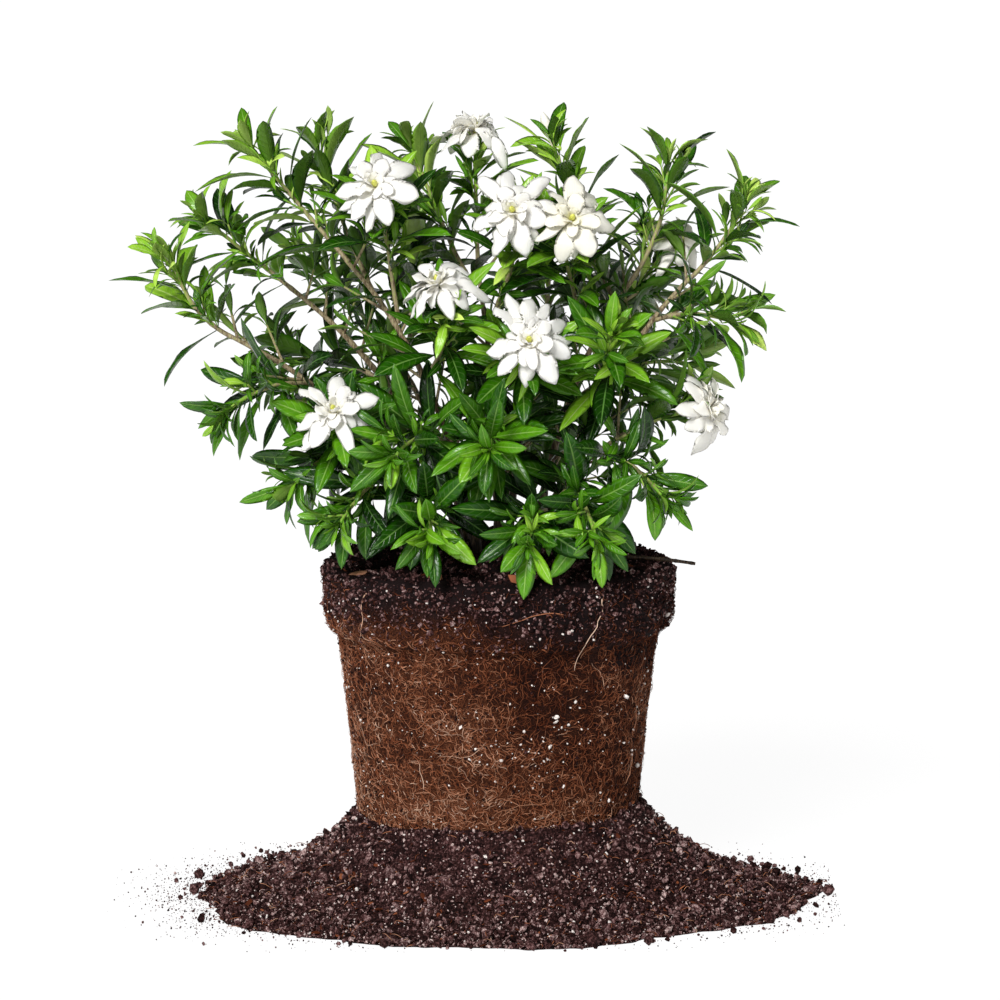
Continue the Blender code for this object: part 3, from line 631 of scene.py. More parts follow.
# Chips of bark: four large ones near the front of the ball's rim, small ones all over it and on the heap.
SMALL_CHIPS = 60
large = np.array([[-102, -74], [-46, -106], [17, -119], [-36, 4]]) * MM
large = top_skin(np.arctan2(large[:, 1], large[:, 0]), np.hypot(*large.T)) + np.array([0, 0, 2.2 * MM])
places, draw = on_top(91, SMALL_CHIPS, np.full(SMALL_CHIPS, 2 * MM))
lengths = np.concatenate([[17, 15, 19, 16], draw.uniform(5, 11, SMALL_CHIPS)]) * MM
tones = np.concatenate([[0.72, 0.66, 0.50, 0.60], draw.uniform(0.02, 0.5, SMALL_CHIPS)])
top_chips = chips("top_bark_chips", np.concatenate([large, places]), lengths, 92, tones)
HEAP_CHIPS = 900
places, radii, draw = scatter_on_heap(93, HEAP_CHIPS, 2.0, 0.35, 1.2, 4.5)
tones = np.clip(draw.normal(0.22, 0.16, HEAP_CHIPS), 0, 0.8)
heap_chips = chips("heap_bark_chips", places, 2 * radii, 94, tones)

# Short fibres lie about on the heap, each a slack curve just above the crumbs.
FIBRES = 700
places, radii, draw = scatter_on_heap(95, FIBRES, 1.0, 0.3, 0.6, 2.0)
heading = draw.uniform(0, 6.3, (FIBRES, 1)) + np.cumsum(draw.normal(0, 0.5, (FIBRES, 6)), axis=1)
step = draw.uniform(0.8, 2.2, (FIBRES, 1)) * MM
path = np.stack([np.cumsum(step * turn, axis=1) for turn in (np.cos(heading), np.sin(heading))], axis=-1)
rise = 1.6 * MM * np.sin(np.linspace(0, math.pi, 6)) + draw.normal(0, 0.4, (FIBRES, 1)) * path[..., 0]
fibres = places[:, None] + np.concatenate([path, rise[..., None]], axis=-1)
fibres[..., 2] = np.maximum(fibres[..., 2], 0.4 * MM)
rings = loft(fibres, np.full((FIBRES, 6), 0.26 * MM), 3)
tones = np.broadcast_to(draw.uniform(0.2, 0.9, (FIBRES, 1, 1)), rings.shape[:3])
heap_fibres = add_piece("heap_fibres", rings, tube_faces(FIBRES, 6, 3), strand, tone=tones)

# Three long pale roots hang over the band: each a cubic through the places across and up that it passes.
HANGING = np.array([
    [(77, 246), (79, 238), (74, 226), (66, 214), (61, 204), (57, 192)],
    [(-97, 248), (-100, 240), (-101, 232), (-100, 224), (-102, 217), (-103, 208)],
    [(50, 236), (40, 239), (31, 238), (22, 233), (12, 234), (4, 229)],
]) * MM
HANGING_RINGS = 18
passed = np.vander(np.linspace(0, 1, HANGING.shape[1]), 4)
smooth = np.vander(np.linspace(0, 1, HANGING_RINGS), 4) @ np.linalg.pinv(passed)
along = np.einsum("wp,npk->nwk", smooth, HANGING)
reach = wall_radius(along[..., 1]) + np.array([[1.6], [1.2], [0.9]]) * MM
angle = np.arctan2(-np.sqrt(reach**2 - along[..., 0] ** 2), along[..., 0])
paths = ball_skin(angle, reach, along[..., 1])
rings = loft(paths, np.full(paths.shape[:2], 0.42 * MM) * np.linspace(1.1, 0.5, HANGING_RINGS), 6)
hanging_tone = np.broadcast_to(np.array([0.92, 0.85, 0.6])[:, None, None], rings.shape[:3])
hanging_faces = tube_faces(len(HANGING), HANGING_RINGS, 6)
hanging = add_piece("hanging_roots", rings, hanging_faces, strand, tone=hanging_tone)

# ------------------------------------------------------------------------------------------------
# Woody stems. Nine stems rise from the ball, dark and rough near the soil and tan higher up, with
# rings where old leaves were. Each is a tapering rod, a little crooked at its rings.


def centreline(points):
    """The middle line of a rod of the frame: a cubic in the distance along the rod's longest way, fitted to
    its corners. Returns the line, its ends and the longest way."""
    middle = points.mean(axis=0)
    way = np.linalg.svd(points - middle, full_matrices=False)[2][0]
    along = (points - middle) @ way
    powers = np.vander(along, 4)
    shape = np.linalg.lstsq(powers, points, rcond=None)[0]
    return (lambda at: np.vander(np.ravel(at), 4) @ shape), along.min(), along.max(), way


# Young shrub bark: thin, grey-tan and furrowed along the stem, and still green on the newest twigs. The
# furrows are about 1 mm apart and six times as long.
bark, bark_shader = new_material("young_shrub_bark", Roughness=0.62, Specular_IOR_Level=0.35)
bark_tone = node(bark, "ShaderNodeAttribute", {"attribute_name": "tone"}).outputs["Fac"]
bark_place = node(bark, "ShaderNodeTexCoord").outputs["Object"]
stretched = node(bark, "ShaderNodeVectorMath", {"operation": "MULTIPLY"}, _0=bark_place, _1=(1.0, 1.0, 0.16))
streak = node(
    bark, "ShaderNodeTexNoise", Vector=stretched.outputs[0], Scale=900.0, Detail=3.0, Roughness=0.65,
)
bark_fleck = node(bark, "MULTIPLY_ADD", _0=streak.outputs["Fac"], _1=1.5, _2=-0.75)
bark_shade = node(bark, "ADD", _0=bark_tone, _1=bark_fleck.outputs[0])
bark_colour = ramp(
    bark, bark_shade.outputs[0],
    (0.0, "#150e08"), (0.25, "#47341f"), (0.45, "#75654a"),
    (0.66, "#a8997a"), (0.84, "#93a046"), (1.0, "#74b030"),
)
wire(bark, bark_shader, "Base Color", bark_colour)
bark_bump = node(bark, "ShaderNodeBump", Strength=0.6, Distance=0.3 * MM, Height=streak.outputs["Fac"])
wire(bark, bark_shader, "Normal", bark_bump.outputs["Normal"])


def rod(name, line, low, high, radii, tones, seed, sides=10, rings=64, knots=22 * MM):
    """A crooked rod along a line: its radius swells by a fifth at each knot, as |cos|^24 of the distance."""
    at = np.linspace(low, high, rings)
    path = line(at)
    share = np.linspace(0, 1, rings)
    crooked = 0.8 * MM * np.stack([noise(path, 26 * MM, seed + k) for k in range(3)], axis=-1)
    path += crooked * share[:, None] ** 0.3
    radius = np.interp(share, np.linspace(0, 1, len(radii)), radii)
    radius = radius * (1 + 0.22 * np.abs(np.cos(math.pi * at / knots)) ** 24)
    rings_made = loft(path[None], radius[None], sides)
    tone = np.repeat(np.interp(share, np.linspace(0, 1, len(tones)), tones), sides)
    return add_piece(name, rings_made, tube_faces(1, rings, sides), bark, tone=tone)


STEM_RADII = [4.0 * MM, 2.4 * MM, 1.6 * MM]
STEM_TONES = [0.10, 0.28, 0.44, 0.60]
stem_names = sorted(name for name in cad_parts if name.startswith("stem_"))
for number, name in enumerate(stem_names):
    line, low, high, way = centreline(cad_mesh(name)[0])
    if way[2] < 0:
        low, high = high, low
    stem = rod(name + "_bark", line, low, high, STEM_RADII, STEM_TONES, 100 + 3 * number)
    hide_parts(name)

# ------------------------------------------------------------------------------------------------
# Leafy shoots. Gardenia leaves stand in whorls of three: leathery and glossy, with a pale midrib and
# about nine pairs of sunken side veins. Each shoot ends in small, soft, light green new leaves.

# The ring of a leaf: five points over its upper side, then three back under it. Each is its place across the
# leaf from -1 to 1, and how far below the upper side it lies.
ACROSS = np.array([-1, -0.5, 0, 0.5, 1, 0.5, 0, -0.5])
BELOW = np.array([0, 0, 0, 0, 0, 1, 1.3, 1])


def leaf_shape(share, neck):
    """The half width along a leaf, 1 at its widest. It is s^1.15 (1 - s)^0.85 on the blade, brought to 1 at
    its peak, on a stalk of half width neck."""
    blade = np.clip((share - 0.05) / 0.95, 0, 1)
    peak = 1.15 / 2
    width = blade**1.15 * (1 - blade) ** 0.85 / (peak**1.15 * (1 - peak) ** 0.85)
    return np.maximum(width, neck * (1 - share))


def leaves(start, middle, tip, side, face, draw, ring_count):
    """Leaves from their start, middle and tip points. The midrib is the quadratic curve that passes the
    middle at t = 0.52. The halves fold up along it and bulge by 1 - (2 |u| - 1)^2, and the margins wave as
    u^2 times a sine. Returns rings, uv and under."""
    count = len(start)
    share = np.linspace(0, 1, ring_count)
    t = 0.52
    side = side * draw.uniform(0.70, 1.04, (count, 1))
    longer = (tip - middle) * draw.uniform(-0.12, 0.14, (count, 1))
    tip = tip + longer - face * 3 * MM * draw.uniform(-0.3, 1, (count, 1))
    control = (middle - (1 - t) ** 2 * start - t * t * tip) / (2 * t * (1 - t))
    s = share[None, :, None]
    rib = (1 - s) ** 2 * start[:, None] + 2 * s * (1 - s) * control[:, None] + s * s * tip[:, None]
    along = 2 * (1 - s) * (control - start)[:, None] + 2 * s * (tip - control)[:, None]
    along /= np.linalg.norm(along, axis=-1, keepdims=True) + 1e-9
    half = np.linalg.norm(side, axis=-1)
    side = side / half[:, None]
    twist = draw.uniform(-0.35, 0.35, (count, 1, 1)) * s
    side = side[:, None] * np.cos(twist) + face[:, None] * np.sin(twist)
    normal = np.cross(side, along)
    normal *= np.sign(np.sum(normal * face[:, None], axis=-1, keepdims=True))
    normal /= np.linalg.norm(normal, axis=-1, keepdims=True) + 1e-9
    width = half[:, None] * leaf_shape(share, 0.09)
    fold = np.radians(draw.uniform(6, 26, (count, 1, 1)))
    phase = draw.uniform(0, 6.3, (count, 1, 1))
    turns = draw.uniform(1.2, 2.4, (count, 1, 1))
    u = ACROSS[None, None, :]
    wave = 0.10 * u * u * np.sin(2 * math.pi * turns * share[None, :, None] + phase + 1.3 * np.sign(u))
    bulge = 0.13 * (1 - (2 * np.abs(u) - 1) ** 2)
    rise = np.sin(fold) * np.abs(u) + wave + bulge
    thick = np.minimum(0.34 * MM, 0.5 * width + 0.1 * MM)
    rings = rib[:, :, None] + (width[:, :, None] * np.cos(fold) * u)[..., None] * side[:, :, None]
    rings = rings + (width[:, :, None] * rise - thick[:, :, None] * BELOW)[..., None] * normal[:, :, None]
    flat_uv = np.stack(np.broadcast_arrays(0.5 + 0.5 * u[0], share[:, None]), axis=-1)
    uv = np.broadcast_to(flat_uv, rings.shape[:3] + (2,))
    under = np.broadcast_to(np.minimum(BELOW, 1), rings.shape[:3])
    return rings, uv, under


# Gardenia leaf: leathery with a waxy skin, so it is glossy with sharp highlights. The upper side is deep
# green with a pale midrib, the lower side duller and greyer, and young leaves are yellow-green.
leaf, leaf_shader = new_material("glossy_gardenia_leaf", Roughness=0.26, Specular_IOR_Level=0.36)
leaf_tone = node(leaf, "ShaderNodeAttribute", {"attribute_name": "tone"}).outputs["Fac"]
leaf_under = node(leaf, "ShaderNodeAttribute", {"attribute_name": "under"}).outputs["Fac"]
leaf_uv = node(leaf, "ShaderNodeSeparateXYZ", Vector=node(leaf, "ShaderNodeTexCoord").outputs["UV"])
leaf_place = node(leaf, "ShaderNodeTexCoord").outputs["Object"]


def step_down(material, value, start, end):
    """1 below start, 0 above end, and smooth between them."""
    return node(
        material, "ShaderNodeMapRange", {"interpolation_type": "SMOOTHSTEP"},
        Value=value, From_Min=start, From_Max=end, To_Min=1.0, To_Max=0.0,
    ).outputs[0]


# Off is how far a point lies from the midrib, 0 to 1. The side veins are where 10 v - 1.5 off is half way
# between whole numbers, so they run out and forward from the midrib.
off = node(leaf, "ABSOLUTE", _0=node(leaf, "MULTIPLY_ADD", _0=leaf_uv.outputs[0], _1=2.0, _2=-1.0))
tenths = node(leaf, "MULTIPLY", _0=leaf_uv.outputs[1], _1=10.0)
vein_place = node(leaf, "MULTIPLY_ADD", _0=off, _1=-1.5, _2=tenths)
vein_off = node(leaf, "ABSOLUTE", _0=node(leaf, "SUBTRACT", _0=node(leaf, "FRACT", _0=vein_place), _1=0.5))
side_vein = step_down(leaf, vein_off, 0.02, 0.15)
side_vein = node(leaf, "MULTIPLY", _0=side_vein, _1=step_down(leaf, off, 0.55, 1.0))
midrib = step_down(leaf, off, 0.03, 0.11)
veins = node(leaf, "MAXIMUM", _0=midrib, _1=node(leaf, "MULTIPLY", _0=side_vein, _1=0.22))
mottle = node(leaf, "ShaderNodeTexNoise", Vector=leaf_place, Scale=130.0, Detail=2.0)
patches = node(leaf, "MULTIPLY_ADD", _0=mottle.outputs["Fac"], _1=0.24, _2=-0.12)
leaf_shade = node(leaf, "ADD", _0=leaf_tone, _1=patches)
blade_colour = ramp(
    leaf, leaf_shade,
    (0.0, "#082600"), (0.25, "#1d4e00"), (0.5, "#4c860a"),
    (0.72, "#7cb024"), (0.88, "#9cca3c"), (1.0, "#c8e66a"),
)
vein_colour = ramp(leaf, leaf_shade, (0.0, "#55803a"), (0.5, "#8db456"), (1.0, "#d5e88f"))
under_colour = ramp(leaf, leaf_shade, (0.0, "#1a3806"), (0.5, "#577c2a"), (1.0, "#acc964"))
pale = node(leaf, "MULTIPLY", _0=veins, _1=0.75)
blade = node(leaf, "ShaderNodeMix", {"data_type": "RGBA"}, _0=pale, _6=blade_colour, _7=vein_colour)
lower = node(
    leaf, "ShaderNodeMix", {"data_type": "RGBA"}, _0=leaf_under, _6=blade.outputs[2], _7=under_colour,
)
wire(leaf, leaf_shader, "Base Color", lower.outputs[2])
grooves = node(leaf, "MAXIMUM", _0=midrib, _1=side_vein)
quilt = node(leaf, "SUBTRACT", _0=node(leaf, "MULTIPLY", _0=mottle.outputs["Fac"], _1=0.2), _1=grooves)
leaf_bump = node(leaf, "ShaderNodeBump", Strength=0.55, Distance=0.5 * MM, Height=quilt)
wire(leaf, leaf_shader, "Normal", leaf_bump.outputs["Normal"])


def cad_leaves(points, faces):
    """The leaves of a shoot of the frame. A leaf's tip is a corner of three long triangles. The far pair of
    its three neighbours is the widest place, the third is the keel, and their other neighbours are the
    leaf's foot. Returns the start, middle, tip, half width and upper way of each, and the other corners."""
    count = np.bincount(faces.ravel(), minlength=len(points))
    after = np.roll(faces, -1, axis=1)
    sides = np.linalg.norm(points[faces] - points[after], axis=-1)
    nearest = np.full(len(points), np.inf)
    np.minimum.at(nearest, faces, sides)
    np.minimum.at(nearest, after, sides)
    found, used = [], set()
    for tip in np.flatnonzero((count == 3) & (nearest > 8 * MM)):
        ring = np.setdiff1d(faces[(faces == tip).any(axis=1)], [tip])
        pairs = [(0, 1, 2), (1, 2, 0), (0, 2, 1)]
        spans = [np.linalg.norm(points[ring[i]] - points[ring[j]]) for i, j, _ in pairs]
        left, right, keel = (ring[k] for k in pairs[int(np.argmax(spans))])
        near = faces[np.isin(faces, ring).any(axis=1)]
        foot = np.setdiff1d(near, [tip, *ring])
        middle = (points[left] + points[right]) / 2
        half_width = (points[right] - points[left]) / 2
        found.append([points[foot].mean(axis=0), middle, points[tip], half_width, middle - points[keel]])
        used.update([tip, *ring])
    rest = np.setdiff1d(np.arange(len(points)), list(used))
    return np.array(found), points[rest]


def side_and_face(along, outward):
    """For leaves that leave along a way: the way across them, and the way their upper side looks."""
    side = np.cross(along, outward)
    side /= np.linalg.norm(side, axis=-1, keepdims=True) + 1e-9
    face = np.cross(side, along)
    return side, face * np.sign(np.sum(face * outward, axis=-1, keepdims=True) + 1e-9)


def fresh_leaves(base, way, count, length, spread, draw):
    """New leaves round a point: they stand up along the way, opened by a spread angle in degrees, each a
    little curved out. Their upper sides look inwards, at the way."""
    helper = np.array([0.0, 0.0, 1.0]) if abs(way[2]) < 0.9 else np.array([1.0, 0.0, 0.0])
    first = np.cross(way, helper)
    first /= np.linalg.norm(first)
    second = np.cross(way, first)
    turn = draw.uniform(0, 6.3) + 2 * math.pi * np.arange(count) / count + draw.normal(0, 0.25, count)
    out = np.cos(turn)[:, None] * first + np.sin(turn)[:, None] * second
    open_by = np.radians(spread * draw.uniform(0.6, 1.3, (count, 1)))
    long = length * draw.uniform(0.65, 1.15, (count, 1))
    along = np.cos(open_by) * way + np.sin(open_by) * out
    later = np.cos(open_by * 1.7) * way + np.sin(open_by * 1.7) * out
    start = base + 0.4 * MM * out
    middle = start + 0.52 * long * along
    tip = middle + 0.48 * long * later
    side, face = side_and_face(along, way - out)
    half_width = side * long * draw.uniform(0.09, 0.18, (count, 1))
    return np.stack([start, middle, tip, half_width, face], axis=1)


def whorl_twig(base, way, draw, length, leaf_length):
    """A short side twig of new growth: where its leaves stand, in two whorls of three, and its path."""
    sets = []
    for share in (0.45, 1.0):
        at = base + length * share * way
        sets.append(fresh_leaves(at, way, 3, leaf_length * (1.15 - 0.3 * share), 52 - 20 * share, draw))
    return np.concatenate(sets), np.linspace(base, base + length * way, 5)


def leafy_piece(name, sets, tones, draw, ring_count=12):
    """One piece of leaves, from the start, middle, tip, half width and upper way of each, and its tone."""
    sets = np.array(sets)
    face = sets[:, 4] / (np.linalg.norm(sets[:, 4], axis=-1, keepdims=True) + 1e-9)
    rings, uv, under = leaves(sets[:, 0], sets[:, 1], sets[:, 2], sets[:, 3], face, draw, ring_count)
    tone = np.broadcast_to(np.asarray(tones)[:, None, None], rings.shape[:3])
    faces = tube_faces(len(rings), ring_count, len(ACROSS))
    return add_piece(name, rings, faces, leaf, uv=uv, tone=tone, under=under)


# Side twigs on the woody stems fill the crown: a few leaves each, smaller, and darker the lower on the stem
# they stand, as painted shade deep inside the crown.
INNER_TWIGS = 10
for number, name in enumerate(stem_names):
    draw = np.random.default_rng(800 + number)
    line, low, high, way = centreline(cad_mesh(name)[0])
    if way[2] < 0:
        low, high, way = high, low, -way
    sets, tones, paths = [], [], []
    for at in np.linspace(0.28, 0.97, INNER_TWIGS):
        base = line(low + at * (high - low))[0]
        out = np.cross(way, draw.normal(size=3))
        out /= np.linalg.norm(out)
        along = 0.55 * way + 0.85 * out + np.array([0, 0, 0.3])
        along /= np.linalg.norm(along)
        more, path = whorl_twig(base, along, draw, draw.uniform(24, 48) * MM, draw.uniform(28, 42) * MM)
        sets.extend(more)
        # Painted shade: leaves lower on the stem, deeper in the crown, get a darker tone.
        tones.extend(draw.normal(0.12 + 0.30 * at, 0.15, len(more)))
        paths.append(path)
    foliage = leafy_piece(name + "_inner_leaves", sets, np.clip(tones, 0.02, 0.98), draw, 9)
    paths = np.array(paths)
    shape = loft(paths, np.broadcast_to(np.linspace(1.3, 0.8, 5) * MM, paths.shape[:2]), 6)
    tones = np.broadcast_to(np.linspace(0.5, 0.8, 5)[:, None], shape.shape[:3])
    twigs = add_piece(name + "_inner_twigs", shape, tube_faces(len(paths), 5, 6), bark, tone=tones)

# The shoots of the frame. Each becomes a green-barked twig, its leaves, side twigs of new growth, and the
# new leaves at its end, where there is no flower.
NEW_TWIGS = 7
TWIG_RADII = [1.8 * MM, 1.25 * MM]
TWIG_TONES = [0.55, 0.72, 0.98]
TIP_WHORLS = ((3, 32 * MM, 34, 0.66), (3, 20 * MM, 15, 0.80))
shoot_ends = {}
for number, name in enumerate(sorted(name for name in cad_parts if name.startswith("shoot_"))):
    draw = np.random.default_rng(200 + number)
    found, tube = cad_leaves(*cad_mesh(name))
    line, low, high, way = centreline(tube)
    if np.sum((found[:, 2] - found[:, 0]) @ way) < 0:
        low, high, way = high, low, -way
    sign = np.sign(high - low)
    tip = line(high)[0]
    heading = tip - line(high - 3 * MM * sign)[0]
    heading /= np.linalg.norm(heading)
    shoot_ends[name] = (tip, heading)
    root = low - 2.5 * MM * sign
    twig = rod(name + "_twig", line, root, high, TWIG_RADII, TWIG_TONES, 300 + 3 * number, 7, 30)
    # How far out along the shoot each leaf stands, from 0 to 1, which also makes it younger and lighter.
    reach = np.clip(((found[:, 0] - line(low)[0]) @ way) / abs(high - low), 0, 1)
    # Low shoots are painted darker than the high ones, as shade under the crown: the lower a shoot's tip, the
    # darker its leaves.
    shade = 0.19 * np.clip((480 * MM - tip[2]) / (120 * MM), 0, 1) - 0.04
    varied = 0.22 - 0.7 * max(shade, 0)
    tones = 0.20 - shade + 0.42 * reach**1.5 + draw.normal(0, varied, len(found))
    foliage = leafy_piece(name + "_leaves", found, np.clip(tones, 0.02, 0.98), draw)
    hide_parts(name)
    # New growth: small side twigs along the shoot, and the soft new leaves at its end.
    sets, tones, twigs = [], [], []
    for at in np.linspace(0.18, 0.92, NEW_TWIGS):
        base = line(low + at * (high - low))[0]
        out = np.cross(way, draw.normal(size=3))
        out /= np.linalg.norm(out)
        along = 0.85 * way + 0.6 * out + np.array([0, 0, 0.25])
        along /= np.linalg.norm(along)
        more, path = whorl_twig(base, along, draw, draw.uniform(8, 22) * MM, draw.uniform(20, 34) * MM)
        sets.extend(more)
        # The same painted shade darkens the new leaves of the low shoots.
        tones.extend(draw.normal(0.38 - 1.1 * shade + 0.32 * at, varied, len(more)))
        twigs.append(path)
    if "flower" not in name:
        for count, length, spread, light in TIP_WHORLS:
            more = fresh_leaves(tip, heading, count, length, spread, draw)
            sets.extend(more)
            tones.extend(draw.normal(light - 1.9 * shade, 0.10, count))
    growth = leafy_piece(name + "_new_leaves", sets, np.clip(tones, 0.02, 0.98), draw, 9)
    paths = np.array(twigs)
    shape = loft(paths, np.broadcast_to(np.linspace(1.0, 0.7, 5) * MM, paths.shape[:2]), 6)
    tones = np.full(shape.shape[:3], 0.95)
    side_twigs = add_piece(name + "_side_twigs", shape, tube_faces(len(paths), 5, 6), bark, tone=tones)

# ------------------------------------------------------------------------------------------------
# Flowers. Double gardenia flowers, open wide: long outer petals like a pinwheel, shorter ones inside,
# and a few small curled ones round a yellow-green stigma. The petals are waxy white, cream at the foot.

PETAL_RINGS = 14
PETAL_ACROSS = np.array([-1, -0.66, -0.33, 0, 0.33, 0.66, 1, 0.66, 0.33, 0, -0.33, -0.66])
PETAL_BELOW = np.array([0, 0, 0, 0, 0, 0, 0, 1, 1, 1, 1, 1])


def petals(heart, facing, tips, half, draw, curl=0.25, stand=0.5):
    """Petals from the heart to their tips. The spine is a quadratic curve that first stands up with the
    flower, then bends out. The half width is s^0.85 (1 - s^2.3)^0.7, so the end is a blunt point. The petal
    cups across as u^2, its margins roll back towards the end and wave, and it turns about its spine."""
    count = len(tips)
    longer = (tips - heart) * draw.uniform(-0.16, 0.05, (count, 1))
    tips = tips + longer + draw.normal(0, 2.2 * MM, (count, 3))
    curl = curl * draw.uniform(0.4, 1.9, (count, 1, 1))
    reach = tips - heart
    length = np.linalg.norm(reach, axis=-1, keepdims=True)
    out = reach - (reach @ facing)[:, None] * facing
    out /= np.linalg.norm(out, axis=-1, keepdims=True) + 1e-9
    control = heart + length * (stand * facing + (0.62 - 0.3 * stand) * out)
    s = np.linspace(0, 1, PETAL_RINGS)[None, :, None]
    spine = (1 - s) ** 2 * heart + 2 * s * (1 - s) * control[:, None] + s * s * tips[:, None]
    along = 2 * (1 - s) * (control - heart)[:, None] + 2 * s * (tips - control)[:, None]
    along /= np.linalg.norm(along, axis=-1, keepdims=True) + 1e-9
    side = np.cross(facing, out)[:, None]
    normal = np.cross(along, side)
    normal *= np.sign(np.sum(normal * facing, axis=-1, keepdims=True) + 1e-9)
    turn = draw.uniform(-0.3, 1.3, (count, 1, 1)) * s * (1.5 - s)
    side, normal = side * np.cos(turn) + normal * np.sin(turn), normal * np.cos(turn) - side * np.sin(turn)
    share = s[0, :, 0]
    width = np.maximum(share, 0.02) ** 0.85 * (1 - 0.985 * share**2.3) ** 0.7
    width = half[:, None] * np.maximum(width / width.max(), 0.14 * (share < 0.5))
    u = PETAL_ACROSS[None, None, :]
    waves = draw.uniform(1.4, 2.6, (count, 1, 1))
    phase = draw.uniform(0, 6.3, (count, 1, 1)) + 1.1 * np.sign(u)
    roll = curl * (0.6 - 1.6 * s) * u**2 + 0.22 * u**2 * np.sin(2 * math.pi * waves * s + phase)
    crease = 0.05 * np.exp(-((u / 0.2) ** 2)) * (0.4 - s)
    thick = 0.45 * MM * (1 - 0.6 * u**2)
    rings = spine[:, :, None] + (width[:, :, None] * u)[..., None] * side[:, :, None]
    height = width[:, :, None] * (roll - crease) - thick * PETAL_BELOW
    rings = rings + height[..., None] * normal[:, :, None]
    flat_uv = np.stack(np.broadcast_arrays(0.5 + 0.5 * u[0], share[:, None]), axis=-1)
    uv = np.broadcast_to(flat_uv, rings.shape[:3] + (2,))
    return rings, uv


# Gardenia petal: thick, waxy and white with fine lengthwise pleats, and cream towards the foot. Light soaks
# a few millimetres into it, so its shadows are soft.
petal, petal_shader = new_material(
    "waxy_petal", Roughness=0.5, Specular_IOR_Level=0.3,
    Subsurface_Weight=0.25, Subsurface_Radius=(1.0, 0.95, 0.75), Subsurface_Scale=3.5 * MM,
)
petal_cream = node(petal, "ShaderNodeAttribute", {"attribute_name": "cream"}).outputs["Fac"]
petal_uv = node(petal, "ShaderNodeSeparateXYZ", Vector=node(petal, "ShaderNodeTexCoord").outputs["UV"])
petal_foot = step_down(petal, petal_uv.outputs[1], 0.02, 0.45)
foot_cream = node(petal, "MULTIPLY", _0=petal_foot, _1=0.42)
petal_shade = node(petal, "ADD", {"use_clamp": True}, _0=petal_cream, _1=foot_cream)
petal_colour = ramp(
    petal, petal_shade, (0.0, "#f1efe9"), (0.35, "#efebda"), (0.7, "#ebe5ba"), (1.0, "#d9da84"),
)
wire(petal, petal_shader, "Base Color", petal_colour)
# Pleats run the length of the petal, 60 / (2 pi) of them across it.
petal_vein = node(petal, "SINE", _0=node(petal, "MULTIPLY", _0=petal_uv.outputs[0], _1=60.0))
petal_bump = node(petal, "ShaderNodeBump", Strength=0.25, Distance=0.12 * MM, Height=petal_vein)
wire(petal, petal_shader, "Normal", petal_bump.outputs["Normal"])

# The stigma: a fleshy, yellow-green club with a finely grained skin.
stigma, stigma_shader = new_material("fleshy_stigma", Roughness=0.45)
stigma_place = node(stigma, "ShaderNodeTexCoord").outputs["Object"]
stigma_grain = node(stigma, "ShaderNodeTexNoise", Vector=stigma_place, Scale=900.0)
stigma_colour = ramp(stigma, stigma_grain.outputs["Fac"], (0.3, "#a9b23a"), (0.65, "#dcd96a"))
wire(stigma, stigma_shader, "Base Color", stigma_colour)


def petal_piece(name, rings, uv, cream):
    """One piece of petals, each with how creamy it is."""
    tone = np.broadcast_to(np.asarray(cream)[:, None, None], rings.shape[:3])
    faces = tube_faces(len(rings), PETAL_RINGS, len(PETAL_ACROSS))
    piece = add_piece(name, rings, faces, petal, uv=uv, cream=tone)
    return piece


def around(facing, angle):
    """Unit vectors square to the facing, at angles round it."""
    helper = np.array([0.0, 0.0, 1.0]) if abs(facing[2]) < 0.9 else np.array([0.0, 1.0, 0.0])
    first = np.cross(facing, helper)
    first /= np.linalg.norm(first)
    second = np.cross(facing, first)
    return np.cos(angle)[:, None] * first + np.sin(angle)[:, None] * second


# How creamy the older flowers are, and how long a flower's tube is.
CREAMY = {"flower_cream": 0.30, "flower_behind": 0.14, "flower_right": 0.10}
TUBE = 13 * MM

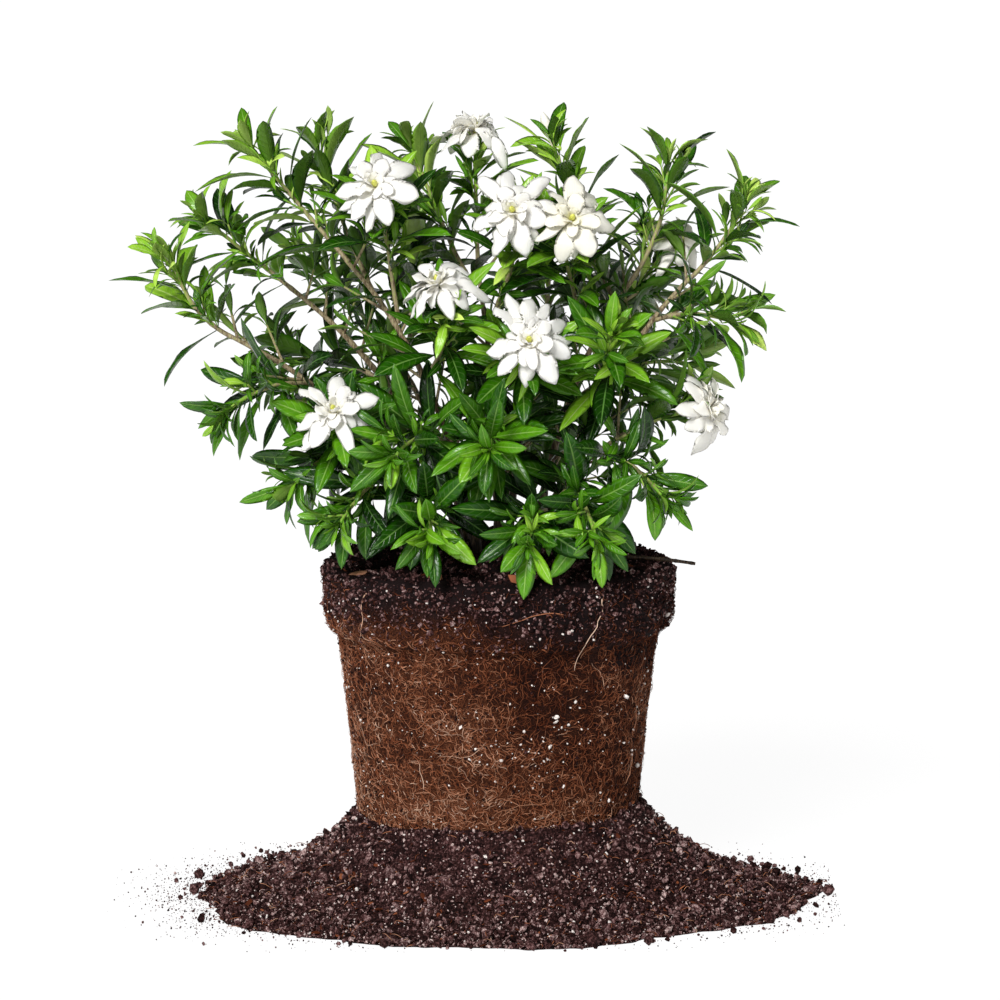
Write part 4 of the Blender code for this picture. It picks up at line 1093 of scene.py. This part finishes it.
for number, name in enumerate(sorted(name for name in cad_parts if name.startswith("flower_"))):
    draw = np.random.default_rng(500 + number)
    points, _ = cad_mesh(name)
    shoot_tip, _ = shoot_ends["shoot_" + name]
    foot = points[np.argsort(np.linalg.norm(points - shoot_tip, axis=1))[:6]]
    base = foot.mean(axis=0)
    facing = np.linalg.svd(foot - base)[2][2]
    facing *= np.sign((points.mean(axis=0) - base) @ facing)
    heart = base + TUBE * facing
    # A petal's tip is a corner that lies farther out than every corner within 7 mm of it.
    far = np.linalg.norm(points - heart, axis=1)
    near = np.linalg.norm(points[:, None] - points[None], axis=-1) < 7 * MM
    peak = (far[:, None] >= np.where(near, far[None], 0)).all(axis=1)
    outer = points[peak & (far > 30 * MM)]
    inner = points[peak & (far < 27 * MM) & (far > 19 * MM)]
    lean = 0.10 if name == "flower_top" else 0.36
    cream = CREAMY.get(name, 0.02)
    half = draw.uniform(5.6, 9.4, len(outer)) * MM
    rings, uv = petals(heart, facing, outer, half, draw, 0.30, lean)
    # Here and there between the outer petals, and behind them, a narrower one hangs back.
    flat_places = (outer - heart) @ around(facing, np.array([0, math.pi / 2])).T
    order = np.argsort(np.arctan2(*flat_places.T))
    between = ((outer[order] + outer[np.roll(order, 1)]) / 2 - heart)[draw.uniform(size=len(outer)) < 0.6]
    few = len(between)
    between *= draw.uniform(28, 41, (few, 1)) * MM / np.linalg.norm(between, axis=1, keepdims=True)
    between += heart - draw.uniform(2, 12, (few, 1)) * MM * facing
    more, more_uv = petals(heart, facing, between, draw.uniform(4.6, 7.4, few) * MM, draw, 0.5, 0.2)
    rings, uv = np.concatenate([rings, more]), np.concatenate([uv, more_uv])
    outer = np.concatenate([outer, between])
    blooms = petal_piece(name + "_outer_petals", rings, uv, cream + draw.uniform(0, 0.06, len(outer)))
    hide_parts(name)
    half = draw.uniform(4.8, 7.2, len(inner)) * MM
    rings, uv = petals(heart + 1.5 * MM * facing, facing, inner, half, draw, 0.1, 0.55)
    petal_piece(name + "_inner_petals", rings, uv, cream + draw.uniform(0.02, 0.10, len(inner)))
    # The small petals in the middle stand nearly upright and curl in.
    small = 5
    angle = draw.uniform(0, 6.3) + 2 * math.pi * np.arange(small) / small + draw.normal(0, 0.2, small)
    opened = np.radians(draw.uniform(18, 46, (small, 1)))
    long = draw.uniform(11, 16, (small, 1)) * MM
    ends = heart + 2 * MM * facing + long * (np.cos(opened) * facing + np.sin(opened) * around(facing, angle))
    half = draw.uniform(3.4, 4.8, small) * MM
    rings, uv = petals(heart + 2 * MM * facing, facing, ends, half, draw, -0.3, 0.7)
    petal_piece(name + "_heart_petals", rings, uv, cream + draw.uniform(0.05, 0.16, small))
    # The stigma, a club that tapers to its tip.
    club = np.linspace(heart, heart + 12.5 * MM * facing, 8)
    club_radius = np.array([0.9, 0.9, 1.0, 1.7, 2.3, 2.2, 1.6, 0.5]) * MM
    rings = loft(club[None], club_radius[None], 8)
    middle = add_piece(name + "_stigma", rings, tube_faces(1, 8, 8), stigma)
    # The green calyx: a cup round the tube, with narrow pointed lobes.
    cup = np.linspace(base - 1.0 * MM * facing, base + 9 * MM * facing, 6)
    cup_radius = np.array([1.3, 2.2, 3.0, 3.3, 3.2, 2.9]) * MM
    cup_ring = loft(cup[None], cup_radius[None], 12)
    even = np.ones(cup_ring.shape[:3])
    calyx_piece = add_piece(
        name + "_calyx", cup_ring, tube_faces(1, 6, 12), leaf,
        uv=np.full(even.shape + (2,), 0.25), tone=0.55 * even, under=0 * even,
    )
    lobes = 6
    turn = around(facing, 2 * math.pi * np.arange(lobes) / lobes)
    start = base + 8 * MM * facing + 2.6 * MM * turn
    half_way = start + 6 * MM * (0.8 * facing + 0.6 * turn)
    end = start + 12 * MM * (0.7 * facing + 0.72 * turn)
    side = np.cross(facing, turn) * 0.9 * MM
    lobe_sets = np.stack([start, half_way, end, side, facing - turn], axis=1)
    lobe_piece = leafy_piece(name + "_calyx_lobes", lobe_sets, np.full(lobes, 0.66), draw, 7)

# A closed bud stands at the tip of one leafy shoot near the top: petals wrapped in a slim twisted spindle,
# whose radius swells by 0.12 cos(5 (angle + twist)).
tip, heading = shoot_ends["shoot_top_right"]
BUD_RINGS = 10
BUD_SIDES = 15
bud_line = np.linspace(tip - 2 * MM * heading, tip + 27 * MM * heading, BUD_RINGS)
bud_radius = np.array([1.2, 1.6, 1.8, 2.2, 3.0, 3.7, 3.9, 3.4, 2.3, 0.6]) * MM
rings = loft(bud_line[None], bud_radius[None], BUD_SIDES)
bud_angle = 2 * math.pi * np.arange(BUD_SIDES) / BUD_SIDES
bud_twist = np.linspace(0, 1.6, BUD_RINGS)
ridge = 1 + 0.12 * np.cos(5 * (bud_angle + bud_twist[:, None]))
rings = bud_line[:, None] + (rings[0] - bud_line[:, None]) * ridge[..., None]
share = np.broadcast_to(np.linspace(0, 1, BUD_RINGS)[:, None, None], (BUD_RINGS, BUD_SIDES, 1))
bud = add_piece(
    "closed_bud", rings, tube_faces(1, BUD_RINGS, BUD_SIDES), petal,
    uv=np.concatenate([np.full_like(share, 0.5), share], axis=-1), cream=np.full_like(share, 0.25),
)

# ------------------------------------------------------------------------------------------------
# Twig. A dead twig lies across the right of the ball's rim, bark still on.

line, low, high, way = centreline(cad_mesh("twig")[0])
DEAD_RADII = [1.7 * MM, 1.4 * MM, 1.2 * MM]
DEAD_TONES = [0.10, 0.16, 0.12]
dead_twig = rod("twig_bark", line, low, high, DEAD_RADII, DEAD_TONES, 700, 8, 40, 12 * MM)
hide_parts("twig")

# ------------------------------------------------------------------------------------------------
# Studio. A white table that glows a little, as under a catalogue picture, one big soft light at the
# front on the left, and a pale room whose brightest part is a band round the horizon.

white, white_shader = new_material("glowing_white_table", Roughness=1.0, Base_Color=linear("#5c5c5c"))
white_shader.inputs["Specular IOR Level"].default_value = 0.0
white_shader.inputs["Emission Color"].default_value = (1, 1, 1, 1)
white_shader.inputs["Emission Strength"].default_value = 0.95
white.cycles.emission_sampling = "NONE"
TABLE_HALF = 60.0
table_corners = [(TABLE_HALF * x, TABLE_HALF * y, 0) for x, y in ((-1, -1), (1, -1), (1, 1), (-1, 1))]
table_mesh = bpy.data.meshes.new("studio_table")
table_mesh.from_pydata(table_corners, [], [(0, 1, 2, 3)])
table_mesh.materials.append(white)
table = bpy.data.objects.new("studio_table", table_mesh)
bpy.context.scene.collection.objects.link(table)

# The room is 1 bright round the horizon, and fades to a dim dome as the view rises past the glow's edge.
DOME = 0.08
GLOW_EDGE = (0.10, 0.16)
world = bpy.data.worlds.new("pale_room")
world.use_nodes = True
background = world.node_tree.nodes["Background"]
background.inputs["Color"].default_value = (1, 1, 1, 1)
height = node(world, "ShaderNodeSeparateXYZ", Vector=node(world, "ShaderNodeTexCoord").outputs["Generated"])
rise = node(world, "ABSOLUTE", _0=height.outputs[2])
room_light = node(world, "MULTIPLY_ADD", _0=step_down(world, rise, *GLOW_EDGE), _1=1 - DOME, _2=DOME)
world.node_tree.links.new(room_light.outputs[0], background.inputs["Strength"])
bpy.context.scene.world = world

WINDOW_WAY = (0.34, 0.86, -0.66)
sun = bpy.data.lights.new("window_light", "SUN")
sun.energy = 3.9
sun.angle = math.radians(24)
window = bpy.data.objects.new("window_light", sun)
bpy.context.scene.collection.objects.link(window)
window.rotation_euler = Vector(WINDOW_WAY).to_track_quat("-Z", "Y").to_euler()

CENTRE = (0.002, 0.0, 0.304)
CAMERA_DISTANCE = 4.2
CAMERA_RISE = math.radians(8.3)
camera_data = bpy.data.cameras.new("camera")
camera_data.lens = 200.5
camera_data.sensor_width = 36
camera = bpy.data.objects.new("camera", camera_data)
bpy.context.scene.collection.objects.link(camera)
back = CAMERA_DISTANCE * np.array([0, -math.cos(CAMERA_RISE), math.sin(CAMERA_RISE)])
camera.location = Vector(np.array(CENTRE) + back)
camera.rotation_euler = (math.pi / 2 - CAMERA_RISE, 0, 0)
bpy.context.scene.camera = camera
bpy.context.scene.view_settings.view_transform = "Standard"
